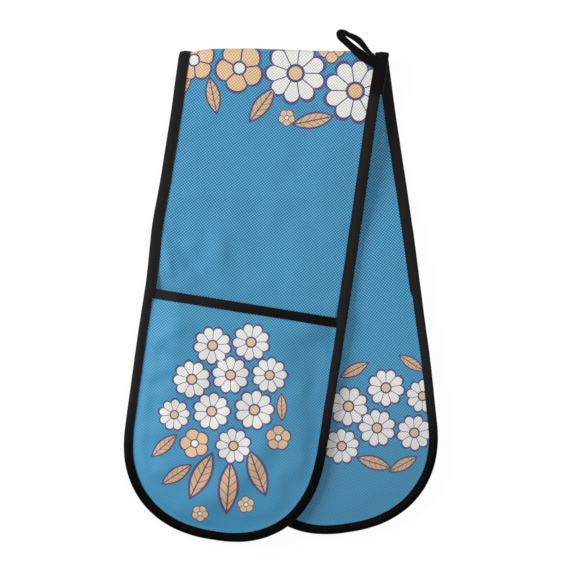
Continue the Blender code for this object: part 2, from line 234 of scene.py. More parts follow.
@dataclass
class FoldedStrip:
    """The map from the flat, uncut strip to the folded glove, with the levels of all its layers."""

    sizes: StripSizes
    pocket: PocketSizes
    tape: TapeSizes

    def __post_init__(self) -> None:
        """Works out the levels that follow from the sizes."""
        sizes, pocket = self.sizes, self.pocket
        self.half_width = sizes.width / 2
        self.inset = self.tape.thickness + sizes.seam_gap
        cloths = 2 * (sizes.cloth + sizes.seam_gap)
        self.edge_draw = (sizes.thickness - cloths - sizes.edge_wadding) / 2
        self.panel_edge = cloths + pocket.edge_wadding
        self.pocket_level = sizes.thickness + pocket.cavity + pocket.panel
        self.pocket_edge = sizes.thickness - self.edge_draw + sizes.seam_gap + self.panel_edge
        self.pocket_rise = self.pocket_level * pocket.swell - self.pocket_edge
        self.back_inner = sizes.thickness
        self.front_inner = self.pocket_level + sizes.seam_gap
        self.centre = (self.back_inner + self.front_inner) / 2
        self.inner_radius = (self.front_inner - self.back_inner) / 2
        self.arc = (self.inner_radius + sizes.thickness / 2) * math.pi / 2

    def from_fold(self, across: Array, strip: Array) -> Array:
        """Distance from the fold line, above 0 on the front half."""
        return strip * math.cos(self.sizes.lean) + across * math.sin(self.sizes.lean)

    def place(self, across: Array, strip: Array, level: Array) -> Array:
        """Places of cloth points.

        Args:
            across: distance from the strip's middle, to the right in the photograph.
            strip: distance from the fold, above 0 on the front half and below 0 on the back half.
            level: how far out from the strip's inner face.

        Returns:
            One row of x, y and z for each point.
        """
        sizes = self.sizes
        x = across * math.cos(sizes.lean) - strip * math.sin(sizes.lean)
        from_fold = self.from_fold(across, strip)
        low, high = sizes.climb
        climb = eased(-strip, low, high - low)
        back = self.back_inner + (self.pocket_level - self.back_inner) * climb
        flat_z = np.where(from_fold > 0, self.front_inner + level, back - level)
        flat_y = self.arc - np.abs(from_fold)
        angle = np.clip(from_fold / self.arc, -1, 1) * math.pi / 2
        radius = self.inner_radius + level
        in_arc = np.abs(from_fold) < self.arc
        y = np.where(in_arc, radius * np.cos(angle), flat_y)
        z = np.where(in_arc, self.centre + radius * np.sin(angle), flat_z)
        return np.stack([x + sizes.shift[0], y + sizes.shift[1], z], axis=-1)

    def crown(self, depth: Array, ramp: float) -> Array:
        """Share of its full swell that a padded layer has at a depth in from the edge."""
        start = self.tape.width + self.sizes.seam_gap
        return np.sin(np.clip((depth - start) / ramp, 0, 1) * math.pi / 2)

    def inner(self, depth: Array) -> Array:
        """Level of the strip's inner face."""
        return self.edge_draw * (1 - self.crown(depth, self.sizes.crown_ramp))

    def outer(self, depth: Array) -> Array:
        """Level of the strip's outer face."""
        return self.sizes.thickness - self.inner(depth)

    def at_mouth(self, past: Array) -> Array:
        """1 at the pocket's mouth and before it, falling to 0 a little way past it."""
        start, stop = self.pocket.settle
        return 1 - eased(past, start, stop - start)

    def panel_thickness(self, depth: Array) -> Array:
        """Thickness of the pocket's three layers together."""
        share = self.crown(depth, self.pocket.ramp)
        return self.panel_edge + (self.pocket.panel - self.panel_edge) * share

    def pocket_inner(self, depth: Array, mouth: Array) -> Array:
        """Level of the pocket's lining.

        Args:
            depth: distance in from the edge.
            mouth: 1 at the pocket's mouth and 0 further in.

        Returns:
            The level, which keeps clear of the strip at the mouth.
        """
        swell = self.pocket_edge + self.pocket_rise * self.crown(depth, self.pocket.ramp)
        top = np.minimum(swell, self.pocket_level - self.inset * mouth)
        level = top - self.panel_thickness(depth)
        floor = self.outer(depth) + self.inset + self.sizes.seam_gap
        return level + (np.maximum(level, floor) - level) * mouth

    def pocket_outer(self, depth: Array, mouth: Array) -> Array:
        """Level of the pocket's outer face."""
        return self.pocket_inner(depth, mouth) + self.panel_thickness(depth)


@dataclass(frozen=True)
class Row:
    """A line across the strip: where it crosses the middle, and how it slants."""

    middle: float
    slope: float = 0.0

    def towards(self, other: "Row", share: float) -> "Row":
        """The row a share of the way to another one."""
        middle = self.middle + (other.middle - self.middle) * share
        return Row(middle, self.slope + (other.slope - self.slope) * share)


@dataclass(frozen=True)
class Line:
    """A line from the strip's edge inwards: on a row of one side, or at an angle round the end."""

    side: int
    row: Row | None
    angle: float = 0.0


@dataclass
class HalfPlan:
    """The flat outline of one half of the strip, whose run is counted away from the fold."""

    strip: FoldedStrip
    side: Side
    steps: MeshSteps

    def __post_init__(self) -> None:
        """Works out the half's own measures."""
        sizes = self.strip.sizes
        self.sign = self.side.value
        self.name = self.side.name.lower()
        self.body = f"{self.name}_half"
        self.start = -self.sign * sizes.overlap
        fronts = sizes.front_length, sizes.front_bow, FRONT_WAVERS
        backs = sizes.back_length, sizes.back_bow, BACK_WAVERS
        own, other = (fronts, backs) if self.side is Side.FRONT else (backs, fronts)
        self.length, self.side_bow, self.wavers = own
        self.end_centre = self.length - sizes.end_reach
        self.beyond = other[1], other[0] - sizes.end_reach

    def attach(self, piece: Piece) -> None:
        """Bakes a front piece's place into its mesh, and lets a back one ride on its half.

        Args:
            piece: a piece of this half.
        """
        if self.side is Side.BACK:
            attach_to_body(piece, "back_half")
            return
        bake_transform(piece)

    def fold_row(self, from_fold: float) -> Row:
        """A row parallel to the fold line, at a distance on this half's side of it."""
        lean = self.strip.sizes.lean
        return Row(from_fold / math.cos(lean), -self.sign * math.tan(lean))

    def mouth_row(self, further: float = 0.0) -> Row:
        """A row parallel to the pocket's mouth."""
        pocket = self.strip.pocket
        return Row(pocket.mouth + further, self.sign * pocket.slant)

    def past_mouth(self, across: Array, run: Array) -> Array:
        """How far past the pocket's mouth a point lies."""
        pocket = self.strip.pocket
        return run - pocket.mouth - self.sign * pocket.slant * across

    def rows_between(self, first: Row, last: Row, pitch: float) -> list[Row]:
        """Rows from the one after first up to last."""
        shares = spaced(0, 1, pitch / abs(last.middle - first.middle))
        return [first.towards(last, share) for share in shares[1:]]

    def strip_rows(self) -> list[Row]:
        """Rows of the whole half, from where it starts to the centre of the round end."""
        arc, steps = self.strip.arc, self.steps
        rows = [self.fold_row(self.start)]
        for stop, pitch in ((-arc, steps.run), (arc, steps.fold)):
            if self.start < stop:
                rows += self.rows_between(rows[-1], self.fold_row(stop), pitch)
        rows += self.rows_between(rows[-1], self.mouth_row(), steps.run)
        return rows + self.pocket_rows(0)[1:]

    def pocket_rows(self, start: float) -> list[Row]:
        """Rows of the pocket, from a distance past its mouth to the centre of the round end.

        Args:
            start: the distance past the mouth.

        Returns:
            The rows, close together near the mouth.
        """
        settled = self.mouth_row(self.strip.pocket.settle[1])
        first = self.mouth_row(start)
        rows = [first, *self.rows_between(first, settled, self.steps.run / 2)]
        return rows + self.rows_between(settled, Row(self.end_centre), self.steps.run)

    def side_spread(self, side: int, middle: float) -> float:
        """How much further out a side stands than at the round end.

        Args:
            side: 1 on the right and -1 on the left.
            middle: the place along the half, below 0 past the fold.

        Returns:
            The distance.
        """
        sizes = self.strip.sizes
        bow, centre = (self.side_bow, self.end_centre) if middle >= 0 else self.beyond
        near = max(0.0, 1 - abs(middle) / sizes.flare_reach)
        spread = bow * math.sin(math.pi * min(1.0, abs(middle) / centre))
        spread += sizes.flare * near * near * (3 - 2 * near)
        bumps = [waver for waver in self.wavers if waver.side == side]
        return spread + sum(bump.height * hump(middle, bump.middle, bump.reach) for bump in bumps)

    def lines(self, rows: Sequence[Row]) -> list[Line]:
        """Lines down one side on the rows, round the end and up the other side.

        Args:
            rows: the rows that the side lines lie on.

        Returns:
            The lines in order, from the left side to the right.
        """
        count = self.steps.end
        left = [Line(-1, row) for row in rows]
        right = [Line(1, row) for row in reversed(rows)]
        end = [Line(1, None, math.pi * (step / count - 0.5)) for step in range(1, count)]
        return left + end + right

    def line_points(self, line: Line, depth: Array) -> Pair:
        """Across and run of the points at some depths on a line.

        Args:
            line: the line.
            depth: distances in from the edge.

        Returns:
            The places across the half and along it.
        """
        sizes, half = self.strip.sizes, self.strip.half_width
        spread = (half - depth) / half
        if line.row is not None:
            across = line.side * spread * (half + self.side_spread(line.side, line.row.middle))
            return across, line.row.middle + line.row.slope * across
        sine, cosine, power = math.sin(line.angle), math.cos(line.angle), 2 / sizes.squareness
        across = spread * half * math.copysign(abs(sine) ** power, line.angle)
        reach = (sizes.end_reach - depth) * cosine**power
        return across, self.end_centre + reach + self.sign * sizes.end_skew * sine * cosine * spread

    def on_line(self, line: Line, profile: Array) -> Array:
        """Places of a profile's points, given as rows of depth and level, on a line."""
        across, run = self.line_points(line, profile[:, 0])
        return self.strip.place(across, run * self.sign, profile[:, 1])

    def facing(self, line: Line, depths: Sequence[float], level: float, side: int = 1) -> Pair:
        """Where stitches go on a line.

        Args:
            line: the line.
            depths: distances in from the edge.
            level: the level of them all.
            side: 1 for cloth that faces outwards there and -1 for cloth that faces inwards.

        Returns:
            The places, and the ways that the cloth faces there.
        """
        levels = (level, level + side * UPWARDS)
        low, high = (self.on_line(line, np.array([(depth, at) for depth in depths])) for at in levels)
        return low, high - low


def add_node(tree: NodeTree, kind: str, links: dict, **settings) -> bpy.types.Node:
    """Adds a node, sets its properties, and fills its inputs.

    Args:
        tree: the node tree that gets the node.
        kind: the node's type.
        links: an input's name, or its place among those in use, with a value or the output that feeds it.
        settings: the node's own properties.

    Returns:
        The node.
    """
    node = tree.nodes.new(kind)
    for name, value in settings.items():
        setattr(node, name, value)
    used = [socket for socket in node.inputs if socket.enabled]
    for key, value in links.items():
        socket = used[key] if isinstance(key, int) else node.inputs[key]
        if isinstance(value, bpy.types.NodeSocket):
            tree.links.new(value, socket)
        else:
            socket.default_value = value
    return node


# What the tables below call a node. Any other word in a table is an operation of a maths node.
NODES = {
    "cloth_uv": ("ShaderNodeUVMap", {"uv_map": "cloth"}),
    "places": ("ShaderNodeTexCoord", {}),
    "noise": ("ShaderNodeTexNoise", {}),
    "range": ("ShaderNodeMapRange", {}),
    "parts": ("ShaderNodeSeparateXYZ", {}),
    "red": ("ShaderNodeSeparateColor", {}),
    "bump": ("ShaderNodeBump", {}),
    "motif_place": ("ShaderNodeMapping", {"vector_type": "TEXTURE"}),
    "length": ("ShaderNodeVectorMath", {"operation": "LENGTH"}),
    "sum": ("ShaderNodeVectorMath", {"operation": "ADD"}),
    "product": ("ShaderNodeVectorMath", {"operation": "MULTIPLY"}),
    "scaled": ("ShaderNodeVectorMath", {"operation": "SCALE"}),
    "sines": ("ShaderNodeVectorMath", {"operation": "SINE"}),
    "mixed_numbers": ("ShaderNodeMix", {}),
    "mixed_places": ("ShaderNodeMix", {"data_type": "VECTOR"}),
    "mixed_colours": ("ShaderNodeMix", {"data_type": "RGBA"}),
    "glow": ("ShaderNodeEmission", {}),
    "light_path": ("ShaderNodeLightPath", {}),
    "mixed_shaders": ("ShaderNodeMixShader", {}),
    "point": ("ShaderNodeCombineXYZ", {}),
    "bezier": ("GeometryNodeCurveQuadraticBezier", {}),
    "circle": ("GeometryNodeCurvePrimitiveCircle", {}),
    "tube": ("GeometryNodeCurveToMesh", {}),
    "curves": ("GeometryNodeMeshToCurve", {}),
    "points_along": ("GeometryNodeCurveToPoints", {"mode": "LENGTH"}),
    "stored_vector": ("GeometryNodeInputNamedAttribute", {"data_type": "FLOAT_VECTOR"}),
    "stood_up": ("FunctionNodeAlignRotationToVector", {"axis": "Z"}),
    "headed": ("FunctionNodeAlignRotationToVector", {"axis": "X", "pivot_axis": "Z"}),
    "random_vector": ("FunctionNodeRandomValue", {"data_type": "FLOAT_VECTOR"}),
    "placed": ("GeometryNodeInstanceOnPoints", {}),
    "realized": ("GeometryNodeRealizeInstances", {}),
    "coloured": ("GeometryNodeSetMaterial", {}),
}


def wire(tree: NodeTree, steps: Sequence[tuple], made: dict) -> dict:
    """Adds the nodes that a table lists.

    Args:
        tree: the node tree that gets them.
        steps: a row for each node: its name here, its kind, and its inputs in order or in a dict. An
            input is a value, or the name of an earlier row or of one of its outputs, as in "row.X".
        made: values and outputs that the rows may name.

    Returns:
        The same, with the outputs of every row.
    """
    made = dict(made)
    for name, kind, *given in steps:
        node_type, settings = NODES.get(kind, ("ShaderNodeMath", {"operation": kind}))
        inputs = given[0] if given and isinstance(given[0], dict) else dict(enumerate(given))
        links = {key: made.get(one, one) if isinstance(one, str) else one for key, one in inputs.items()}
        node = add_node(tree, node_type, links, **settings)
        made.update({f"{name}.{output.name}": output for output in node.outputs})
        made[name] = next(output for output in node.outputs if output.enabled)
    return made


def wired_material(name: str, numbers: dict, steps: Sequence[tuple], made: dict) -> Material:
    """A material whose colour, roughness and normal come from a table.

    Args:
        name: the material's name.
        numbers: values set on the shader itself.
        steps: the table, with a row called tone, one called bump and, where it varies, one called rough.
        made: values that the rows may name.

    Returns:
        The material.
    """
    material = bpy.data.materials.new(name)
    material.use_nodes = True
    tree = material.node_tree
    shader = tree.nodes["Principled BSDF"].inputs
    for key, value in numbers.items():
        shader[key].default_value = value
    outputs = wire(tree, steps, made)
    for key, row in (("Base Color", "tone"), ("Roughness", "rough"), ("Normal", "bump")):
        if row in outputs:
            tree.links.new(outputs[row], shader[key])
    return material


@dataclass(frozen=True)
class Printed:
    """One motif of the print, in millimetres and degrees: where it is, how big, and how it is turned."""

    motif: Motif
    across: float
    strip: float
    radius: float
    turn: float
    leaf_slimness: float = 0.40

    def steps(self) -> tuple[tuple, ...]:
        """Rows that move a place on the cloth into the motif, and keep it if no other one is nearer."""
        wide = self.leaf_slimness if self.motif is Motif.LEAF else 1.0
        place = {
            "Vector": "spot",
            "Location": (self.across / 1000, self.strip / 1000, 0),
            "Rotation": (0, 0, math.radians(self.turn)),
            "Scale": (self.radius / 1000, self.radius / 1000 * wide, 1.0),
        }
        return (
            ("own", "motif_place", place),
            ("away", "length", "own"),
            ("nearer", "LESS_THAN", "away", "reach"),
            ("local", "mixed_places", "nearer", "local", "own"),
            ("kind", "mixed_numbers", "nearer", "kind", float(self.motif.value)),
            ("reach", "MINIMUM", "away", "reach"),
        )


# Flowers: round lobes on an inked rim, with gaps between the petals and a ring round the heart.
FLOWER_STEPS = (
    ("place", "parts", "local"),
    ("angle", "ARCTAN2", "place.Y", "place.X"),
    ("is_round", "COMPARE", "kind", float(Motif.ROUND.value)),
    ("petal_count", "MULTIPLY_ADD", "is_round", -2.0, 4.5),
    ("turned", "MULTIPLY", "angle", "petal_count"),
    ("lobes", "COSINE", "turned"),
    ("petal", "ABSOLUTE", "lobes"),
    ("fuller", "POWER", "petal", 0.5),
    ("rim", "MULTIPLY_ADD", "fuller", 0.30, 0.66),
    ("flower", "LESS_THAN", "reach", "rim"),
    ("rim_line", "COMPARE", "reach", "rim", 0.055),
    ("heart", "LESS_THAN", "reach", 0.25),
    ("ring", "COMPARE", "reach", 0.25, 0.04),
    ("outside_heart", "SUBTRACT", "flower", "heart"),
    ("between", "MULTIPLY", "petal", "reach"),
    ("gap", "LESS_THAN", "between", 0.075),
    ("gap_line", "MULTIPLY", "gap", "outside_heart"),
    ("gap_or_rim", "MAXIMUM", "gap_line", "rim_line"),
    ("flower_ink", "MAXIMUM", "gap_or_rim", "ring"),
)
# Leaves: a slim blade with an inked edge, a rib and slanting veins.
LEAF_STEPS = (
    ("is_leaf", "COMPARE", "kind", float(Motif.LEAF.value)),
    ("aside", "ABSOLUTE", "place.Y"),
    ("squared", "MULTIPLY", "place.X", "place.X"),
    ("blade", "MULTIPLY_ADD", "squared", -0.96, 0.86),
    ("inside", "SUBTRACT", "blade", "aside"),
    ("leaf", "GREATER_THAN", "inside", 0.0),
    ("leaf_line", "COMPARE", "inside", 0.0, 0.12),
    ("along_ribs", "MULTIPLY", "place.X", 10.0),
    ("slanted", "MULTIPLY_ADD", "aside", 4.0, "along_ribs"),
    ("rippled", "SINE", "slanted"),
    ("vein", "COMPARE", "rippled", 0.0, 0.16),
    ("rib", "LESS_THAN", "aside", 0.07),
    ("vein_or_rib", "MAXIMUM", "vein", "rib"),
    ("inner_ink", "MULTIPLY", "vein_or_rib", "leaf"),
    ("leaf_ink", "MAXIMUM", "leaf_line", "inner_ink"),
)
# Paint: each row lays its third colour over its second one where its first is 1.
PAINT_STEPS = (
    ("tint", "mixed_colours", "is_round", "petals", "hearts"),
    ("middle", "mixed_colours", "is_round", "hearts", "petals"),
    ("petalled", "mixed_colours", "flower", "ground", "tint"),
    ("hearted", "mixed_colours", "heart", "petalled", "middle"),
    ("bloom", "mixed_colours", "flower_ink", "hearted", "ink"),
    ("blade_fill", "mixed_colours", "leaf", "ground", "leaves"),
    ("foliage", "mixed_colours", "leaf_ink", "blade_fill", "ink"),
    ("print", "mixed_colours", "is_leaf", "bloom", "foliage"),
)
# The weave: warp and weft bulge in turn, drift a little and are thick and thin. Its chequer in the colour is
# partly the yarns' own texture and partly painted highlight on the crests and painted shade in the gaps.
# Towards the strip's two ends its contrast and bump fade, where it shows less, as painted falloff of light.
WEAVE_STEPS = (
    ("cloth", "parts", "spot"),
    ("from_fold", "ABSOLUTE", "cloth.Y"),
    # painted light falloff: less weave contrast, crest highlight and bump towards the strip's ends
    ("lit_weave_share", "range", "from_fold", 0.20, 0.43, 1.0, 0.28),
    ("swirl", "noise", "spot", 90.0, 1.0),
    ("drift", "scaled", "swirl.Color", 0.0007),
    ("moved", "sum", "spot", "drift"),
    ("turns", "scaled", "moved", "turns_per_metre"),
    ("waves", "sines", "turns"),
    ("yarns", "parts", "waves"),
    ("over", "MULTIPLY", "yarns.X", "yarns.Y"),
    ("along_weft", "product", "spot", "weft_stretch"),
    ("weft_slubs", "noise", "along_weft", 1.0),
    ("along_warp", "product", "spot", "warp_stretch"),
    ("warp_slubs", "noise", "along_warp", 1.0),
    ("slubs", "ADD", "weft_slubs", "warp_slubs"),
    ("uneven", "range", "slubs", 0.7, 1.3, 0.40, 1.05),
    ("raised", "range", "over", -1.0),
    ("peaks", "POWER", "raised", 1.9),
    # painted highlight and shade: crests lighter and gaps darker in the colour, partly the yarns' own texture
    ("lit", "MULTIPLY_ADD", "peaks", 1.7, -0.50),
    ("relief", "MULTIPLY", "lit", "uneven"),
    ("even", "MULTIPLY_ADD", "lit_weave_share", -0.26, 0.26),
    ("crests", "MULTIPLY_ADD", "peaks", "lit_weave_share", "even"),
    ("height", "MULTIPLY", "over", "lit_weave_share"),
    ("bump", "bump", {"Height": "height", "Strength": 0.6, "Distance": 0.0004}),
    ("rough", "range", "crests", 0.0, 1.0, "rough_between", "rough_crest"),
)
# The colour: the dye is a little patchy, painted shade darkens the back half's end, and the yarns show less
# contrast where the print is pale. A painted white highlight is added on the crests.
DYE_STEPS = (
    ("wear", "noise", "spot", 14.0, 3.0),
    # painted shade: the back half's end is darker
    ("depth", "range", "cloth.Y", -0.41, -0.27, 0.78, 0.96),
    ("patchy_dye_and_painted_shade", "MULTIPLY_ADD", "wear", 0.08, "depth"),
    ("redness", "red", "print"),
    ("bare", "range", "redness", 0.0, 0.8, 1.0, 0.45),
    ("contrast", "MULTIPLY", "bare", "lit_weave_share"),
    ("shade", "MULTIPLY_ADD", "relief", "contrast", "patchy_dye_and_painted_shade"),
    ("shaded_colour", "scaled", "print", "shade"),
    # painted highlight: white added to the colour on the yarn crests
    ("painted_highlight_share", "MULTIPLY", "bare", "crest_highlight"),
    ("shine", "MULTIPLY", "crests", "painted_highlight_share"),
    ("tone", "sum", "shaded_colour", "shine"),
)


# Printed polyester: round yarns in a coarse plain weave. To the eye it is a matt blue cloth with a fine
# chequer of bright crests and dark gaps, which the print's edges step along. The yarns have their real
# pitch of 1.41 mm.
@dataclass(frozen=True)
class PrintedPlainWeave:
    """Coarse plain-woven polyester with a print pressed into its face."""

    name: str
    motifs: tuple[Printed, ...]
    ground: str = "1A84B0"
    petals: str = "E6E4E0"
    hearts: str = "DEBA90"
    leaves: str = "D3AC7E"
    ink: str = "3B3470"
    yarn: float = 0.00141
    slub: float = 1 / 60
    rough_between: float = 0.74
    rough_crest: float = 0.40
    sheen: float = 0.06
    sheen_roughness: float = 0.45
    # painted highlight: how much white the crests' colour gets
    crest_highlight: float = 0.14
    satin: float = 0.42

    def make(self) -> Material:
        """The material: the nearest motif of the print over the ground, broken up by the weave."""
        numbers = {
            "Specular IOR Level": self.satin,
            "Sheen Weight": self.sheen,
            "Sheen Roughness": self.sheen_roughness,
        }
        far = 9.0
        made = vars(self) | {
            "reach": far,
            "local": (far, far, 0.0),
            "kind": 0.0,
            "turns_per_metre": math.pi / self.yarn,
            "weft_stretch": (1 / self.yarn, 1 / self.slub, 0.0),
            "warp_stretch": (1 / self.slub, 1 / self.yarn, 0.0),
        }
        made |= {dye: linear(made[dye]) for dye in ("ground", "petals", "hearts", "leaves", "ink")}
        steps = [("spot", "cloth_uv")]
        for motif in self.motifs:
            steps += motif.steps()
        steps += FLOWER_STEPS + LEAF_STEPS + PAINT_STEPS + WEAVE_STEPS + DYE_STEPS
        return wired_material(self.name, numbers, steps, made)


TAPE_STEPS = (
    ("spot", "cloth_uv"),
    ("tape", "parts", "spot"),
    ("slant", "ADD", "tape.X", "tape.Y"),
    ("turns", "MULTIPLY", "slant", "yarn_turns"),
    ("rib", "SINE", "turns"),
    ("pulled", "MULTIPLY", "tape.X", "pucker_turns"),
    ("pull", "SINE", "pulled"),
    ("height", "MULTIPLY_ADD", "pull", 1.6, "rib"),
    ("bump", "bump", {"Height": "height", "Strength": 0.35, "Distance": 0.0001}),
    # painted shade: darker colour round a middle point on the tape's run
    ("from_end", "SUBTRACT", "tape.X", "shade_middle"),
    ("aside", "ABSOLUTE", "from_end"),
    ("share", "range", "aside", "shade_from", "shade_to"),
    ("shaded_colour", "mixed_colours", "share", "painted_shade_colour", "colour"),
    ("rub", "noise", "spot", 120.0, 4.0),
    ("rough", "range", "rub", 0.0, 1.0, "smoothest", "roughest"),
    ("dye", "range", "rib", -1.0, 1.0, 0.8, 1.3),
    ("tone", "scaled", "shaded_colour", "dye"),
)


# Bias tape: fine polyester, woven, cut askew and pressed. To the eye it is a black band with a soft
# sheen along its folds, puckered at each stitch. Its rib is about 0.3 mm in real tape, too fine to show
# here, and is drawn at 0.62 mm.
@dataclass(frozen=True)
class BiasTape:
    """Black bias tape, with painted shade that darkens it from a middle point on its run to some way off."""

    name: str
    # partly the tape's own near-black and partly painted sheen, which lightens it
    colour: str = "201E1E"
    # painted shade: the colour of the shaded stretch
    painted_shade_colour: str = "050404"
    roughness: float = 0.45
    worn: tuple[float, float] = (-0.07, 0.1)
    sheen: float = 0.01
    sheen_roughness: float = 0.35
    shine: float = 0.04
    shade_middle: float = 0.0
    shade_reach: tuple[float, float] = (0.125, 0.185)
    yarn: float = 0.00062
    pucker: float = 0.0034

    def make(self) -> Material:
        """The material: a fine diagonal rib, and puckers at the pitch of the stitches."""
        numbers = {
            "Sheen Weight": self.sheen,
            "Sheen Roughness": self.sheen_roughness,
            "Specular IOR Level": self.shine,
        }
        made = vars(self) | {
            "yarn_turns": 2 * math.pi / self.yarn,
            "pucker_turns": 2 * math.pi / self.pucker,
            "shade_from": self.shade_reach[0],
            "shade_to": self.shade_reach[1],
            "painted_shade_colour": linear(self.painted_shade_colour),
            "colour": linear(self.colour),
            "smoothest": self.roughness + self.worn[0],
            "roughest": self.roughness + self.worn[1],
        }
        return wired_material(self.name, numbers, TAPE_STEPS, made)


FIBRE_STEPS = (
    ("spot", "places"),
    ("fibre", "noise", "spot.Object", "fineness", 5.0),
    ("tone", "mixed_colours", "fibre", "dark", "colour"),
    ("bump", "bump", {"Height": "fibre", "Strength": 0.5, "Distance": "depth"}),
)


# Spun thread, plain cotton and needled wadding: matt stuffs whose fibres of about 0.02 mm are too fine
# to show, and are drawn as a noise of about 1 to 2 mm.
@dataclass(frozen=True)
class FibrousStuff:
    """A plain fibrous stuff, such as thread, lining cotton or needled wadding."""

    name: str
    colour: str
    dark: str
    roughness: float
    fineness: float
    depth: float
    sheen: float = 0.2

    def make(self) -> Material:
        """The material: fibres as a fine noise in colour and height."""
        made = vars(self) | {"colour": linear(self.colour), "dark": linear(self.dark)}
        numbers = {"Roughness": self.roughness, "Sheen Weight": self.sheen}
        return wired_material(self.name, numbers, FIBRE_STEPS, made)


@dataclass(frozen=True)
class Finishes:
    """The glove's materials."""

    cloth: Material
    tape: Material
    mouth_tape: Material
    loop_tape: Material
    thread: Material
    wadding: Material
    lining: Material


def linked(name: str, mesh: bpy.types.Mesh) -> Piece:
    """An object in the scene that shows a mesh."""
    piece = bpy.data.objects.new(name, mesh)
    bpy.context.scene.collection.objects.link(piece)
    return piece


def finished(name: str, points: Array, faces: Sequence, marks: Array, material: Material) -> Piece:
    """Makes a closed, smooth piece, with its place on the cloth as a UV map.

    Args:
        name: the piece's name.
        points: one row of x, y and z for each point.
        faces: point numbers of each face.
        marks: one row of two lengths on the cloth for each point.
        material: the finish.

    Returns:
        The piece.
    """
    mesh = bpy.data.meshes.new(name)
    mesh.from_pydata(points.tolist(), [], faces)
    layer = mesh.uv_layers.new(name="cloth")
    corners = np.empty(len(mesh.loops), dtype=np.int32)
    mesh.loops.foreach_get("vertex_index", corners)
    layer.data.foreach_set("uv", marks[corners].astype(np.float32).ravel())
    data = bmesh.new()
    data.from_mesh(mesh)
    bmesh.ops.recalc_face_normals(data, faces=data.faces[:])
    if data.calc_volume(signed=True) < 0:
        bmesh.ops.reverse_faces(data, faces=data.faces[:])
    data.to_mesh(mesh)
    data.free()
    mesh.materials.append(material)
    mesh.shade_smooth()
    mesh.set_sharp_from_angle(angle=CREASE_ANGLE)
    return linked(name, mesh)


def swept(name: str, rings: Sequence[Array], runs: Sequence[float], material: Material) -> Piece:
    """Closed skin through rings of points.

    Args:
        name: the piece's name.
        rings: the rings, with as many points each.
        runs: how far along the tape each ring is.
        material: the finish.

    Returns:
        The piece, with its UV map running along the tape and round its section.
    """
    count = len(rings[0])
    girth = running_lengths(rings[0])
    points = np.concatenate(rings)
    marks = np.array([(run, around) for run in runs for around in girth])
    faces = [list(range(count)), list(range(len(points) - count, len(points)))]
    for low in range(0, len(points) - count, count):
        for step in range(count):
            after = (step + 1) % count
            faces.append([low + step, low + after, low + count + after, low + count + step])
    return finished(name, points, faces, marks, material)


def claim(piece: Piece, node: str) -> None:
    """Hides the CAD node that a piece stands for, and logs the piece."""
    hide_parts(node)
    LOG.info("made %s", piece.name)


@dataclass(frozen=True)
class PanelSizes:
    """A stretch of the front's outer face that is sewn down all round, and where its cloth lies slack."""

    half_width: float
    near: float
    far: float
    slack_middle: tuple[float, float]
    slack_reach: tuple[float, float]
    round_end: float = 0.0
    taut: float = 0.10
    growth: float = 0.020
    bending: float = 5.0
    kept: float = 1.0
    lowest: float = -0.0012
    highest: float = 0.0028


